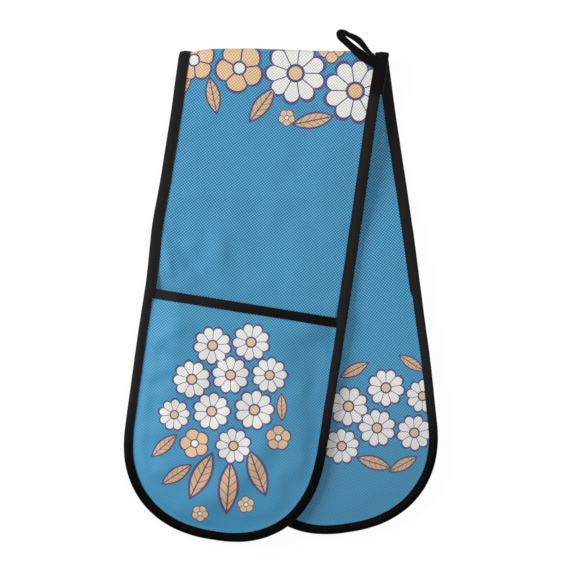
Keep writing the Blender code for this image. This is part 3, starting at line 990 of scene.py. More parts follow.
@dataclass
class SlackPanel:
    """Cloth a little too large for its sewn rim, which settles into soft folds in a simulation."""

    sizes: PanelSizes
    pitch: float = 0.0036
    frames: int = 20
    squareness: float = 2.33
    round_rim: float = 0.97
    start_height: float = 0.0002
    start_lumps: float = 0.02
    start_seed: float = 3.3

    def __post_init__(self) -> None:
        sizes = self.sizes
        self.across = np.array(spaced(-sizes.half_width, sizes.half_width, self.pitch))
        self.strip = np.array(spaced(sizes.near, sizes.far, self.pitch))
        self.heights = self.capped(self.settled())

    def capped(self, heights: Array) -> Array:
        """The simulated heights, eased off towards the lowest and highest that are allowed.

        Args:
            heights: the heights that the cloth settled at.

        Returns:
            The heights within the limits.
        """
        sizes = self.sizes
        kept = heights * sizes.kept
        up, down = (limit * np.tanh(kept / limit) for limit in (sizes.highest, sizes.lowest))
        return np.where(kept > 0, up, down)

    def sewn(self, across: float, strip: float) -> bool:
        """Whether a point is on the rim, or past the round end.

        Args:
            across: the point's place across the panel.
            strip: its place along the strip.

        Returns:
            True where the cloth is sewn down.
        """
        sizes, near = self.sizes, self.pitch / 2
        inside = abs(across) < sizes.half_width - near and sizes.near + near < strip < sizes.far - near
        beyond = strip - sizes.far + sizes.round_end
        if not inside or not sizes.round_end or beyond < 0:
            return not inside
        aside, along = abs(across) / sizes.half_width, beyond / sizes.round_end
        return aside**self.squareness + along**self.squareness > self.round_rim

    def slack(self, across: float, strip: float) -> float:
        """How slack the cloth is here, from 0 to 1.

        Args:
            across: the place across the panel.
            strip: the place along the strip.

        Returns:
            The share of the full slackness.
        """
        sizes = self.sizes
        (middle, centre), (wide, long) = sizes.slack_middle, sizes.slack_reach
        return sizes.taut + (1 - sizes.taut) * float(hump(across, middle, wide) * hump(strip, centre, long))

    def sheet(self) -> Piece:
        """The panel's cloth before it settles, with its rim and its taut parts as vertex groups."""
        lumps, seed, height = self.start_lumps, self.start_seed, self.start_height
        spots = [(float(a), float(b)) for b in self.strip for a in self.across]
        points = [(a, b, height * noise.noise(Vector((a / lumps, b / lumps, seed)))) for a, b in spots]
        wide, faces = len(self.across), []
        for row in range(len(self.strip) - 1):
            for corner in range(row * wide, row * wide + wide - 1):
                faces.append((corner, corner + 1, corner + wide + 1, corner + wide))
        mesh = bpy.data.meshes.new("slack_panel")
        mesh.from_pydata(points, [], faces)
        piece = linked("slack_panel", mesh)
        rim, taut = piece.vertex_groups.new(name="rim"), piece.vertex_groups.new(name="taut")
        for number, spot in enumerate(spots):
            if self.sewn(*spot):
                rim.add([number], 1.0, "REPLACE")
            taut.add([number], 1 - self.slack(*spot), "REPLACE")
        return piece

    def settled(self) -> Array:
        """Heights of the cloth after it has settled, one row of them across for each step along."""
        piece = self.sheet()
        cloth = piece.modifiers.new("settling", "CLOTH")
        rules = cloth.settings
        rules.quality = 8
        rules.mass = 0.3
        rules.tension_stiffness = rules.compression_stiffness = 30
        rules.shear_stiffness = 12
        rules.bending_stiffness = self.sizes.bending
        rules.air_damping = 4
        rules.vertex_group_mass = "rim"
        rules.shrink_min = -self.sizes.growth
        rules.shrink_max = 0.0
        rules.vertex_group_shrink = "taut"
        rules.effector_weights.gravity = 0
        cloth.point_cache.frame_end = self.frames
        scene = bpy.context.scene
        for number in range(1, self.frames + 1):
            scene.frame_set(number)
        shaped = piece.evaluated_get(bpy.context.evaluated_depsgraph_get()).data
        places = np.empty(len(shaped.vertices) * 3, dtype=np.float32)
        shaped.vertices.foreach_get("co", places)
        bpy.data.objects.remove(piece)
        scene.frame_set(1)
        return places.reshape(-1, 3)[:, 2].reshape(len(self.strip), len(self.across)).astype(float)

    def height(self, across: Array, strip: Array) -> Array:
        """Height of the folds at some places, smoothly between the grid's points.

        Args:
            across: the places across the panel.
            strip: the places along the strip.

        Returns:
            The heights.
        """
        starts, weights = [], []
        for values, line in ((strip, self.strip), (across, self.across)):
            place = np.clip((values - line[0]) / (line[1] - line[0]), 0, len(line) - 1.001)
            starts.append(place.astype(int))
            t = place - starts[-1]
            first = (-t + 2 * t**2 - t**3) / 2
            last = (t**3 - t**2) / 2
            second = (2 - 5 * t**2 + 3 * t**3) / 2
            weights.append((first, second, 1 - first - second - last, last))
        total = np.zeros_like(across)
        for row in range(4):
            for column in range(4):
                rows = np.clip(starts[0] + row - 1, 0, len(self.strip) - 1)
                columns = np.clip(starts[1] + column - 1, 0, len(self.across) - 1)
                total += weights[0][row] * weights[1][column] * self.heights[rows, columns]
        return total


FRONT_PANEL = PanelSizes(
    half_width=0.082,
    near=0.020,
    far=0.234,
    slack_middle=(-0.066, 0.206),
    slack_reach=(0.024, 0.034),
    taut=0.06,
    growth=0.036,
    bending=2.5,
    kept=0.4,
)
POCKET_PANEL = PanelSizes(
    half_width=0.083,
    near=0.243,
    far=0.442,
    slack_middle=(-0.062, 0.318),
    slack_reach=(0.028, 0.060),
    round_end=0.085,
)


@dataclass(frozen=True)
class Tuck:
    """A fold or, with a height below 0, a dent left by packing, in millimetres and degrees."""

    across: float
    strip: float
    turn: float
    length: float
    width: float
    height: float

    def level(self, across: Array, strip: Array) -> Array:
        """Height of the fold at some places.

        Args:
            across: the places across the strip.
            strip: the places along it.

        Returns:
            The heights.
        """
        turn = math.radians(self.turn)
        aside, along = across * 1000 - self.across, strip * 1000 - self.strip
        run = aside * math.cos(turn) + along * math.sin(turn)
        off = along * math.cos(turn) - aside * math.sin(turn)
        return self.height / 1000 * hump(run, 0, self.length) * hump(off, 0, self.width)


TUCKS = (
    Tuck(-74.5, 208, 72, 13, 4, 2.5),
    Tuck(-57, 203, 44, 23, 5.5, -2.4),
    Tuck(-67, 180, 80, 15, 8, -1.0),
    Tuck(-31, 190, 76, 19, 9, 3.8),
    Tuck(-66, 271, -38, 20, 6, 2.4),
    Tuck(-56, 310, -30, 12, 5, -1.5),
)


@dataclass
class Relief:
    """The small unevenness of padded cloth, as levels added to a face."""

    strip: FoldedStrip
    pucker_fade: float = 0.011
    pucker_start: float = 0.003
    pucker_lumps: float = 0.0068
    pucker_stretch: float = 0.12
    side_from: float = 0.03
    swell_start: float = 0.02
    swell_lumps: float = 0.046

    def __post_init__(self) -> None:
        """Settles the front's two panels."""
        self.panels = [SlackPanel(sizes) for sizes in (FRONT_PANEL, POCKET_PANEL)]

    def grain(self, across: Array, strip: Array, size: float, seed: float) -> Array:
        """Smooth noise from -1 to 1 with lumps of a size."""
        pairs = zip((across / size).tolist(), (strip / size).tolist())
        return np.array([noise.noise(Vector((a, b, seed))) for a, b in pairs])

    def puckers(self, across: Array, strip: Array, depth: Array, seed: float) -> Array:
        """Short ripples that run in from the bound edge and fade within some centimetres.

        Args:
            across: distance from the strip's middle.
            strip: distance from the fold.
            depth: distance in from the edge.
            seed: what sets these ripples apart from others.

        Returns:
            Heights from -1 to 1.
        """
        start = self.strip.tape.width
        fade = np.exp(-np.maximum(depth - start, 0) / self.pucker_fade)
        run = np.where(np.abs(across) > self.side_from, strip, across)
        pulls = self.grain(run, across * self.pucker_stretch, self.pucker_lumps, seed)
        return pulls * fade * eased(depth, start, self.pucker_start)

    def swell(self, across: Array, strip: Array, depth: Array, seed: float) -> Array:
        """Long, soft unevenness of the wadding away from the edge."""
        share = eased(depth, self.strip.tape.width, self.swell_start)
        return self.grain(across, strip, self.swell_lumps, seed) * share

    def waves(self, across: Array, strip: Array) -> Array:
        """The soft folds of the front's cloth, above the pocket and on it."""
        settled = sum(panel.height(across, strip) for panel in self.panels)
        return settled + sum(tuck.level(across, strip) for tuck in TUCKS)


@dataclass
class PaddedPanel:
    """Two cloths with wadding between them, which fill the outline between an inner and an outer face."""

    plan: HalfPlan
    relief: Relief
    finishes: Finishes

    def inner_face(self, across: Array, strip: Array, depth: Array) -> Array:
        """Level of the panel's inner face."""
        raise NotImplementedError

    def outer_face(self, across: Array, strip: Array, depth: Array) -> Array:
        """Level of the panel's outer face."""
        raise NotImplementedError

    def depths(self, coarse: bool) -> list[float]:
        """Distances in from the edge, without the middle.

        Args:
            coarse: whether they may lie far apart.

        Returns:
            The distances, from the edge inwards.
        """
        strip, steps = self.plan.strip, self.plan.steps
        spread = steps.coarse if coarse else 1
        band = strip.tape.width + strip.sizes.seam_gap
        crown_end = band + strip.pocket.ramp
        under = spaced(strip.inset, band, band / 3)
        ramp = spaced(band, crown_end, steps.crown * spread)[1:]
        middle = spaced(crown_end, strip.half_width, steps.middle * spread)[1:-1]
        return [*under, *ramp, *middle]

    def layer(
        self,
        name: str,
        rows: Sequence[Row],
        faces: Sequence[tuple[LevelField, float]],
        material: Material,
        coarse: bool,
    ) -> Piece:
        """A closed sheet or pad.

        Args:
            name: the piece's name.
            rows: the rows across the strip that it covers.
            faces: the faces that it lies between, each with how far off it its own skin is.
            material: the finish.
            coarse: whether its points may lie far apart, for a piece that doesn't show.

        Returns:
            The piece.
        """
        plan = self.plan
        depths = self.depths(coarse)
        lines = plan.lines(rows)
        points = [plan.line_points(line, np.array(depths)) for line in lines]
        middles = np.array([row.middle for row in rows])
        across = np.concatenate([*(one[0] for one in points), np.zeros(len(rows))])
        run = np.concatenate([*(one[1] for one in points), middles])
        depth = np.concatenate([np.tile(depths, len(lines)), np.full(len(rows), plan.strip.half_width)])
        strip = run * plan.sign
        skins = [plan.strip.place(across, strip, face(across, strip, depth) + off) for face, off in faces]
        last, steps = len(rows) - 1, len(depths)
        spine = [*range(last + 1), *[last] * (len(lines) - 2 * len(rows)), *range(last, -1, -1)]
        grid = []
        for number, middle in enumerate(spine):
            grid.append([*range(number * steps, (number + 1) * steps), len(lines) * steps + middle])
        below = []
        for first, second in zip(grid, grid[1:]):
            for step in range(steps):
                face = [first[step], second[step], second[step + 1], first[step + 1]]
                below.append(face if face[2] != face[3] else face[:3])
        count = len(across)
        above = [[number + count for number in reversed(face)] for face in below]
        rim = [*reversed(grid[0]), *(line[0] for line in grid[1:-1]), *grid[-1][:-1]]
        walls = [[a, b, b + count, a + count] for a, b in zip(rim, [*rim[1:], rim[0]])]
        marks = np.tile(np.stack([across, strip], axis=-1), (2, 1))
        return finished(name, np.concatenate(skins), below + above + walls, marks, material)

    def stack(
        self,
        parts: Sequence[tuple[str, str, Material]],
        rows: Sequence[Row],
        attach: Callable[[Piece], None],
        fill: float,
        flat: float,
        held: str,
    ) -> None:
        """Makes the inner cloth, the wadding and the outer cloth.

        Args:
            parts: each layer's node, slot and finish, from the inside out.
            rows: the rows across the strip that they cover.
            attach: what says where a piece belongs.
            fill: not used.
            flat: not used.
            held: not used.
        """
        plan, strip = self.plan, self.plan.strip
        cloth = strip.sizes.cloth
        seam = cloth + strip.sizes.seam_gap
        inner, outer = self.inner_face, self.outer_face
        lining, filling = ((inner, 0.0), (inner, cloth)), ((inner, seam), (outer, -seam))
        faces = (lining, filling, ((outer, -cloth), (outer, 0.0)))
        for (part, slot, finish), pair in zip(parts, faces):
            padded = slot == "wadding"
            coarse = padded and plan.side is Side.BACK
            piece = self.layer(f"{plan.name}_{part}_dressed", rows, pair, finish, coarse)
            attach(piece)
            claim(piece, f"{plan.name}_{part}")


@dataclass
class PaddedStrip(PaddedPanel):
    """The strip's two cloths and its wadding on one half."""

    fill: float = 0.6
    inner_pucker: float = 0.00045
    inner_swell: float = 0.0004
    inner_swell_in: tuple[float, float] = (0.012, 0.03)
    outer_pucker: float = 0.0004
    outer_swell: float = 0.0006
    flat_at_mouth: tuple[float, float] = (0.219, 0.014)
    puff: float = 0.0014
    puff_run: float = 0.016
    puff_across: tuple[float, float] = (-0.040, 0.066)
    puff_in: tuple[float, float] = (0.0102, 0.012)

    def build(self) -> None:
        """Makes the inner cloth, the wadding and the outer cloth."""
        plan, finishes = self.plan, self.finishes
        parts = (
            ("inner_cloth", "printed_cloth", finishes.cloth),
            ("wadding", "wadding", finishes.wadding),
            ("outer_cloth", "printed_cloth", finishes.cloth),
        )
        self.stack(parts, plan.strip_rows(), plan.attach, self.fill, plan.length - plan.start, "folded")

    def inner_face(self, across: Array, strip: Array, depth: Array) -> Array:
        """Level of the strip's inner face, which only ever sinks into the wadding."""
        pucker = np.abs(self.relief.puckers(across, strip, depth, 3.1)) * self.inner_pucker
        swell = (1 + self.relief.swell(across, strip, depth, 5.7)) * self.inner_swell
        return self.plan.strip.inner(depth) + pucker + swell * eased(depth, *self.inner_swell_in)

    def outer_face(self, across: Array, strip: Array, depth: Array) -> Array:
        """Level of the strip's outer face, which puffs up at the fold and never reaches the table.

        Args:
            across: the places across the strip.
            strip: the places along it.
            depth: the distances in from the edge.

        Returns:
            The levels.
        """
        folded = self.plan.strip
        base = folded.outer(depth)
        pucker = self.relief.puckers(across, strip, depth, 8.4) * self.outer_pucker
        swell = self.relief.swell(across, strip, depth, 2.2) * self.outer_swell
        if self.plan.side is Side.BACK:
            return base - np.abs(pucker) - np.abs(swell)
        before_mouth = 1 - eased(strip, *self.flat_at_mouth)
        from_fold = folded.from_fold(across, strip)
        centre, reach = self.puff_across
        middle = np.clip(1 - ((across - centre) / reach) ** 2, 0, 1) * eased(depth, *self.puff_in)
        puff = self.puff * hump(from_fold, 0, self.puff_run) * middle
        extra = (pucker + swell + self.relief.waves(across, strip)) * before_mouth + puff
        off_table = eased(from_fold, -folded.arc, folded.arc / 2)
        return base + np.minimum(extra, 0) * (1 - off_table) + extra * off_table


@dataclass
class Pocket(PaddedPanel):
    """The padded pocket panel on one half."""

    fill: float = 0.5
    pucker: float = 0.0003
    swell: float = 0.0005
    sunk: float = 0.6
    raised_past: tuple[float, float] = (0.014, 0.02)
    raised_in: tuple[float, float] = (0.0105, 0.012)
    bulge: float = 0.0011
    bulge_in: tuple[float, float] = (0.0160, 0.0046)
    bulge_start: tuple[float, float] = (0.0090, 0.003)
    bulge_side: float = 0.04
    slack_ramp: float = 0.078
    slack_side: tuple[float, float] = (-0.01, 0.06)

    def build(self) -> None:
        """Makes the lining, the wadding and the outer cloth."""
        plan, finishes = self.plan, self.finishes
        parts = (
            ("pocket_lining", "lining", finishes.lining),
            ("pocket_wadding", "wadding", finishes.wadding),
            ("pocket_cloth", "printed_cloth", finishes.cloth),
        )
        rows = plan.pocket_rows(plan.strip.inset)
        flat = plan.length - plan.strip.pocket.mouth
        self.stack(parts, rows, lambda piece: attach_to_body(piece, plan.body), self.fill, flat, "laid")

    def lift(self, across: Array, strip: Array, depth: Array) -> Array:
        """Unevenness that all the panel's layers share.

        Args:
            across: the places across the panel.
            strip: the places along the strip.
            depth: the distances in from the edge.

        Returns:
            The heights to add to each layer.
        """
        if self.plan.side is Side.BACK:
            return np.zeros_like(across)
        relief, (past, reach) = self.relief, self.raised_past
        far = eased(np.abs(strip), self.plan.strip.pocket.mouth + past, reach)
        swell = (relief.swell(across, strip, depth, 6.6) - self.sunk) * self.swell
        pucker = relief.puckers(across, strip, depth, 4.3) * self.pucker
        raised = (swell + relief.waves(across, strip) + pucker) * eased(depth, *self.raised_in)
        bulge = self.bulge * hump(depth, *self.bulge_in) * eased(-across, 0, self.bulge_side)
        bulge = bulge * eased(depth, *self.bulge_start)
        return (raised + bulge - self.slump(across, depth)) * far

    def slump(self, across: Array, depth: Array) -> Array:
        """How far the empty front pocket lies down towards its right side.

        Args:
            across: the places across the panel.
            depth: the distances in from the edge.

        Returns:
            The drops.
        """
        strip = self.plan.strip
        room = (strip.pocket_level - strip.pocket_edge) / strip.pocket_rise
        ramps = (strip.pocket.ramp, self.slack_ramp)
        full, slack = (np.minimum(strip.crown(depth, ramp), room) for ramp in ramps)
        return strip.pocket_rise * (full - slack) * eased(across, *self.slack_side)

    def mouth(self, across: Array, strip: Array) -> Array:
        """1 at the pocket's mouth and 0 further in."""
        return self.plan.strip.at_mouth(self.plan.past_mouth(across, np.abs(strip)))

    def inner_face(self, across: Array, strip: Array, depth: Array) -> Array:
        """Level of the panel's inner face."""
        base = self.plan.strip.pocket_inner(depth, self.mouth(across, strip))
        return base + self.lift(across, strip, depth)

    def outer_face(self, across: Array, strip: Array, depth: Array) -> Array:
        """Level of the panel's outer face."""
        base = self.plan.strip.pocket_outer(depth, self.mouth(across, strip))
        return base + self.lift(across, strip, depth)


@dataclass(frozen=True)
class TapeSection:
    """How a folded tape's section is drawn: shares of its flat width, and its small swells and dips."""

    shares: tuple[float, ...] = (0, 0.16, 0.34, 0.55, 0.74, 0.84, 0.93, 1)
    turns: int = 12
    pillow_end: float = 1.12
    lower_pillow: float = 0.4
    dip_reach: float = 0.0009
    edge_draw: float = 0.0001
    edge_start: float = 0.93
    steepest_roll: float = 1.3
    smallest_roll: float = 0.0002

    def profile(self, tape: TapeSizes, start: float, wrapped: Pair, gap: float, waver: float = 0.0) -> Array:
        """Outline of a tape folded over an edge.

        Args:
            tape: the tape.
            start: depth at which its fold starts.
            wrapped: levels of the lower and upper faces of what it wraps.
            gap: clearance to what it wraps.
            waver: how much wider than planned it is here.

        Returns:
            Rows of depth and level, once round.
        """
        low, high = wrapped[0] - gap - tape.thickness, wrapped[1] + gap + tape.thickness
        middle, rise = (low + high) / 2, (high - low) / 2
        roll = min(tape.roll, rise * self.steepest_roll)
        bend, width = roll + start, tape.width + waver
        shares = np.array(self.shares)
        flat = bend + (width - bend) * shares
        pillow = tape.pillow * np.sin(math.pi * np.minimum(1, shares * self.pillow_end))
        dip = tape.stitch_dip * hump(width - flat, tape.stitch_inset, self.dip_reach)
        drawn = self.edge_draw * np.maximum(0, shares - self.edge_start) / (1 - self.edge_start)
        upper = rise - dip - drawn + pillow
        lower = rise - dip - drawn + pillow * self.lower_pillow
        turn = math.pi / 2 + math.pi * np.arange(self.turns + 1) / self.turns
        inner_rise, inner_roll = rise - tape.thickness, max(roll - tape.thickness, self.smallest_roll)
        inner = np.full(len(flat) - 1, inner_rise)
        round_out = bend + roll * np.cos(turn[1:-1])
        depths = (flat[::-1], round_out, flat, flat[:0:-1], bend + inner_roll * np.cos(turn), flat[1:])
        levels = (-lower[::-1], -rise * np.sin(turn[1:-1]), upper, inner, inner_rise * np.sin(turn), -inner)
        return np.stack([np.concatenate(depths), middle + np.concatenate(levels)], axis=-1)


# A stitch is an arch of thread. It is set at each step along its guide line, stood up on the cloth and
# turned along the row.
STITCH_STEPS = (
    ("half", "MULTIPLY", "Length", 0.5),
    ("back", "MULTIPLY", "Length", -0.5),
    ("top", "MULTIPLY", "Arch", 2.0),
    ("start", "point", {0: "back"}),
    ("crest", "point", {2: "top"}),
    ("stop", "point", {0: "half"}),
    ("arch", "bezier", 5, "start", "crest", "stop"),
    ("radius", "MULTIPLY", "Thread", 0.5),
    ("section", "circle", 6, "radius"),
    ("stitch", "tube", {"Curve": "arch", "Profile Curve": "section", "Fill Caps": True}),
    ("rows", "curves", "Guides"),
    ("spots", "points_along", "rows", "Pitch"),
    ("outwards", "stored_vector", "facing"),
    ("upright", "stood_up", {"Vector": "outwards"}),
    ("heading", "headed", {"Rotation": "upright", "Vector": "spots.Tangent"}),
    ("jitter", "random_vector", {0: (0.9, 0.85, 0.9), 1: (1.06, 1.1, 1.1), "Seed": "Seed"}),
    ("sewn", "placed", {"Points": "spots", "Instance": "stitch", "Rotation": "heading", "Scale": "jitter"}),
    ("real", "realized", "sewn"),
    ("threads", "coloured", {"Geometry": "real", "Material": "Material"}),
)


@dataclass
class Stitching:
    """Rows of machine stitches, placed along guide lines by geometry nodes."""

    sizes: StitchSizes
    thread: Material

    def __post_init__(self) -> None:
        """Builds the node tree once."""
        self.tree = bpy.data.node_groups.new("machine_stitches", "GeometryNodeTree")
        kinds = {"Guides": "Geometry", "Seed": "Int", "Material": "Material"}
        for name in ("Guides", "Pitch", "Length", "Thread", "Arch", "Seed", "Material"):
            kind = f"NodeSocket{kinds.get(name, 'Float')}"
            self.tree.interface.new_socket(name=name, in_out="INPUT", socket_type=kind)
        self.tree.interface.new_socket(name="Stitches", in_out="OUTPUT", socket_type="NodeSocketGeometry")
        given = add_node(self.tree, "NodeGroupInput", {}).outputs
        made = wire(self.tree, STITCH_STEPS, {socket.name: socket for socket in given if socket.name})
        add_node(self.tree, "NodeGroupOutput", {0: made["threads"]})

    def sew(self, name: str, guides: Sequence[Pair], seed: int) -> Piece:
        """A plain mesh of stitches along guide lines.

        Args:
            name: the piece's name.
            guides: the lines' points, each with the directions that the cloth faces there.
            seed: what the stitches' small differences are drawn from.

        Returns:
            The piece.
        """
        mesh = bpy.data.meshes.new(f"{name}_guides")
        points = np.concatenate([line for line, _ in guides])
        facing = np.concatenate([ways for _, ways in guides]).astype(np.float32)
        edges, start = [], 0
        for line, _ in guides:
            edges += [(start + step, start + step + 1) for step in range(len(line) - 1)]
            start += len(line)
        mesh.from_pydata(points.tolist(), edges, [])
        mesh.attributes.new("facing", "FLOAT_VECTOR", "POINT").data.foreach_set("vector", facing.ravel())
        guide = linked(f"{name}_guides", mesh)
        modifier = guide.modifiers.new("stitches", "NODES")
        modifier.node_group = self.tree
        sizes = self.sizes
        values = {"Pitch": sizes.pitch, "Length": sizes.length, "Thread": sizes.thread, "Arch": sizes.arch}
        values |= {"Seed": seed, "Material": self.thread}
        for item in self.tree.interface.items_tree:
            if item.name in values:
                modifier[item.identifier] = values[item.name]
        bpy.context.view_layer.update()
        graph = bpy.context.evaluated_depsgraph_get()
        sewn = bpy.data.meshes.new_from_object(guide.evaluated_get(graph))
        sewn.name = name
        bpy.data.objects.remove(guide)
        piece = linked(name, sewn)
        LOG.info("sewed %s", name)
        return piece


@dataclass
class SewnTape:
    """What the bindings and the tab are made from."""

    plan: HalfPlan
    finishes: Finishes
    stitching: Stitching
    section: TapeSection

    def stitch_level(self, tape: TapeSizes, wrapped: float) -> float:
        """How far a tape's stitched face lies off the upper face of what it wraps, thread not counted."""
        return wrapped + self.plan.strip.sizes.seam_gap + tape.thickness - tape.stitch_dip


@dataclass
class EdgeBinding(SewnTape):
    """Bias tape folded over the whole edge of one half, with its two rows of stitches.

    Towards the pocket it opens wider, and on the front it also passes over the mouth binding's ends.
    """

    opens: tuple[float, float] = (-0.016, 0.014)
    cover: tuple[float, float] = (-0.005, 0.0140)
    cover_ease: float = 0.005
    narrows: tuple[float, float] = (0.0, 0.0085)
    waver_run: float = 0.021
    shake: float = 0.00012
    shake_run: float = 0.013

    def wrapped(self, across: float, past: float) -> Pair:
        """Levels of the lower and upper faces of what the tape wraps.

        Args:
            across: not used.
            past: distance past the pocket's mouth.

        Returns:
            The two levels.
        """
        strip = self.plan.strip
        closed, opened = strip.outer(EDGE), strip.pocket_outer(EDGE, strip.at_mouth(past))
        if self.plan.side is Side.FRONT:
            start, stop = self.cover
            covered = eased(past, start, self.cover_ease) * eased(-past, -stop, self.cover_ease)
            opened += (MOUTH_TAPE.thickness + strip.sizes.seam_gap) * covered
        return strip.inner(EDGE), closed + (opened - closed) * eased(past, *self.opens)

    def build(self) -> None:
        """Makes the tape and its stitches."""
        plan, strip = self.plan, self.plan.strip
        tape, gap, steps = strip.tape, strip.sizes.seam_gap, plan.steps
        dense = replace(plan, steps=replace(steps, run=steps.tape, end=steps.tape_end))
        lines = dense.lines(dense.strip_rows())
        edge = [np.array(plan.line_points(line, EDGE)) for line in lines]
        runs = running_lengths(edge)
        rings, rows = [], {1: [], -1: []}
        for line, (across, along), run in zip(lines, edge, runs):
            past = plan.past_mouth(across, along)
            under, over = self.wrapped(across, past)
            waver = tape.waver * wander(run, self.waver_run, plan.sign * 3.7, 0.4)
            waver -= (tape.width - strip.pocket.binding) * eased(past, *self.narrows)
            shake = self.shake * wander(run, self.shake_run, plan.sign * 9.1, 2.4)
            rings.append(plan.on_line(line, self.section.profile(tape, shake, (under, over), gap, waver)))
            depth = tape.width + waver - tape.stitch_inset
            stand = self.stitch_level(tape, 0) - self.stitching.sizes.thread * self.stitching.sizes.sunk
            for side, face in ((1, over), (-1, under)):
                spots, ways = plan.facing(line, [depth], face + side * stand, side)
                rows[side].append((spots[0], ways[0]))
        centred = [run - runs[-1] / 2 for run in runs]
        piece = swept(f"{plan.name}_edge_binding_dressed", rings, centred, self.finishes.tape)
        plan.attach(piece)
        claim(piece, f"{plan.name}_edge_binding")
        guides = [guide_line(row) for row in rows.values()]
        seed = 11 if plan.side is Side.FRONT else 12
        plan.attach(self.stitching.sew(f"{plan.name}_edge_stitches", guides, seed))


@dataclass
class MouthBinding(SewnTape):
    """Tape folded over a pocket's mouth, from one edge binding to the other."""

    tucked: float = 0.0028
    waver_run: float = 0.021

    def build(self) -> None:
        """Makes the tape, whose ends lie under the front's edge binding, and its stitches."""
        plan, strip = self.plan, self.plan.strip
        front = plan.side is Side.FRONT
        tape = MOUTH_TAPE if front else replace(MOUTH_TAPE, pillow=0.0)
        reach = strip.half_width - strip.tape.width + (self.tucked if front else 0.0)
        rings, stitches = [], []
        for place in spaced(-reach, reach, plan.steps.tape):
            depth = np.array(strip.half_width - abs(place))
            across, mouth = plan.line_points(Line(1 if place > 0 else -1, plan.mouth_row()), depth)
            wrapped = strip.pocket_inner(depth, 1.0), strip.pocket_outer(depth, 1.0)
            waver = tape.waver * wander(across, self.waver_run, plan.sign * 5.2, 7.4)
            profile = self.section.profile(tape, 0.0, wrapped, strip.sizes.seam_gap, waver)
            row = tape.width + waver - tape.stitch_inset
            stand = self.stitch_level(tape, wrapped[1])
            sunk = self.stitching.sizes.thread * self.stitching.sizes.sunk
            points = np.array([*profile, (row, stand - sunk), (row, stand + UPWARDS)])
            strips = (mouth + points[:, 0]) * plan.sign
            ring = strip.place(np.full(len(points), across), strips, points[:, 1])
            rings.append(ring[:-2])
            stitches.append((ring[-2], ring[-1] - ring[-2]))
        runs = running_lengths([ring[0] for ring in rings])
        piece = swept(f"{plan.name}_mouth_binding_dressed", rings, runs, self.finishes.mouth_tape)
        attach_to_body(piece, plan.body)
        claim(piece, f"{plan.name}_mouth_binding")
        seed = 21 if front else 22
        sewn = self.stitching.sew(f"{plan.name}_mouth_stitches", [guide_line(stitches)], seed)
        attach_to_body(sewn, plan.body)


@dataclass
class EndTab(SewnTape):
    """The overlapped end of the edge binding, sewn over it on the right near the fold."""

    start: float = 0.0035
    length: float = 0.0378
    looseness: float = 0.0013
    step: float = 0.0011
    end_tuck: float = 0.0003
    sunk: float = 0.0001
    bar_insets: tuple[float, float] = (0.0045, 0.0018)
    bar_margin: float = 0.0012
    bar_height: float = 0.00005

    def build(self) -> None:
        """Makes the tab, the stitches along it and the bar tacks across its two ends."""
        plan, strip, tape = self.plan, self.plan.strip, TAB_TAPE
        gap, around = strip.sizes.seam_gap, strip.inset
        under, over = strip.inner(EDGE) - around, strip.outer(EDGE) + around
        stop = self.start + self.length
        places = spaced(self.start, stop, self.step)
        rings, stitches = [], []
        for place in places:
            row = Line(1, plan.fold_row(place))
            tuck = self.end_tuck if place in (places[0], places[-1]) else 0.0
            fold = -tape.thickness - gap - self.looseness
            profile = self.section.profile(tape, fold, (under + tuck, over - tuck), gap)
            rings.append(plan.on_line(row, profile))
            depth = tape.width - tape.stitch_inset
            spots, ways = plan.facing(row, [depth], self.stitch_level(tape, over) - self.sunk)
            stitches.append((spots[0], ways[0]))
        runs = running_lengths([ring[0] for ring in rings])
        piece = swept("binding_end_tab_dressed", rings, runs, self.finishes.loop_tape)
        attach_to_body(piece, "front_half")
        claim(piece, "binding_end_tab")
        guides = [guide_line(stitches)]
        depths = spaced(self.bar_margin, tape.width - self.bar_margin, self.bar_margin)
        for place in (self.start + self.bar_insets[0], stop - self.bar_insets[1]):
            level = over + gap + tape.thickness + self.bar_height
            guides.append(plan.facing(Line(1, plan.fold_row(place)), depths, level))
        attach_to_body(self.stitching.sew("end_tab_stitches", guides, seed=31), "front_half")


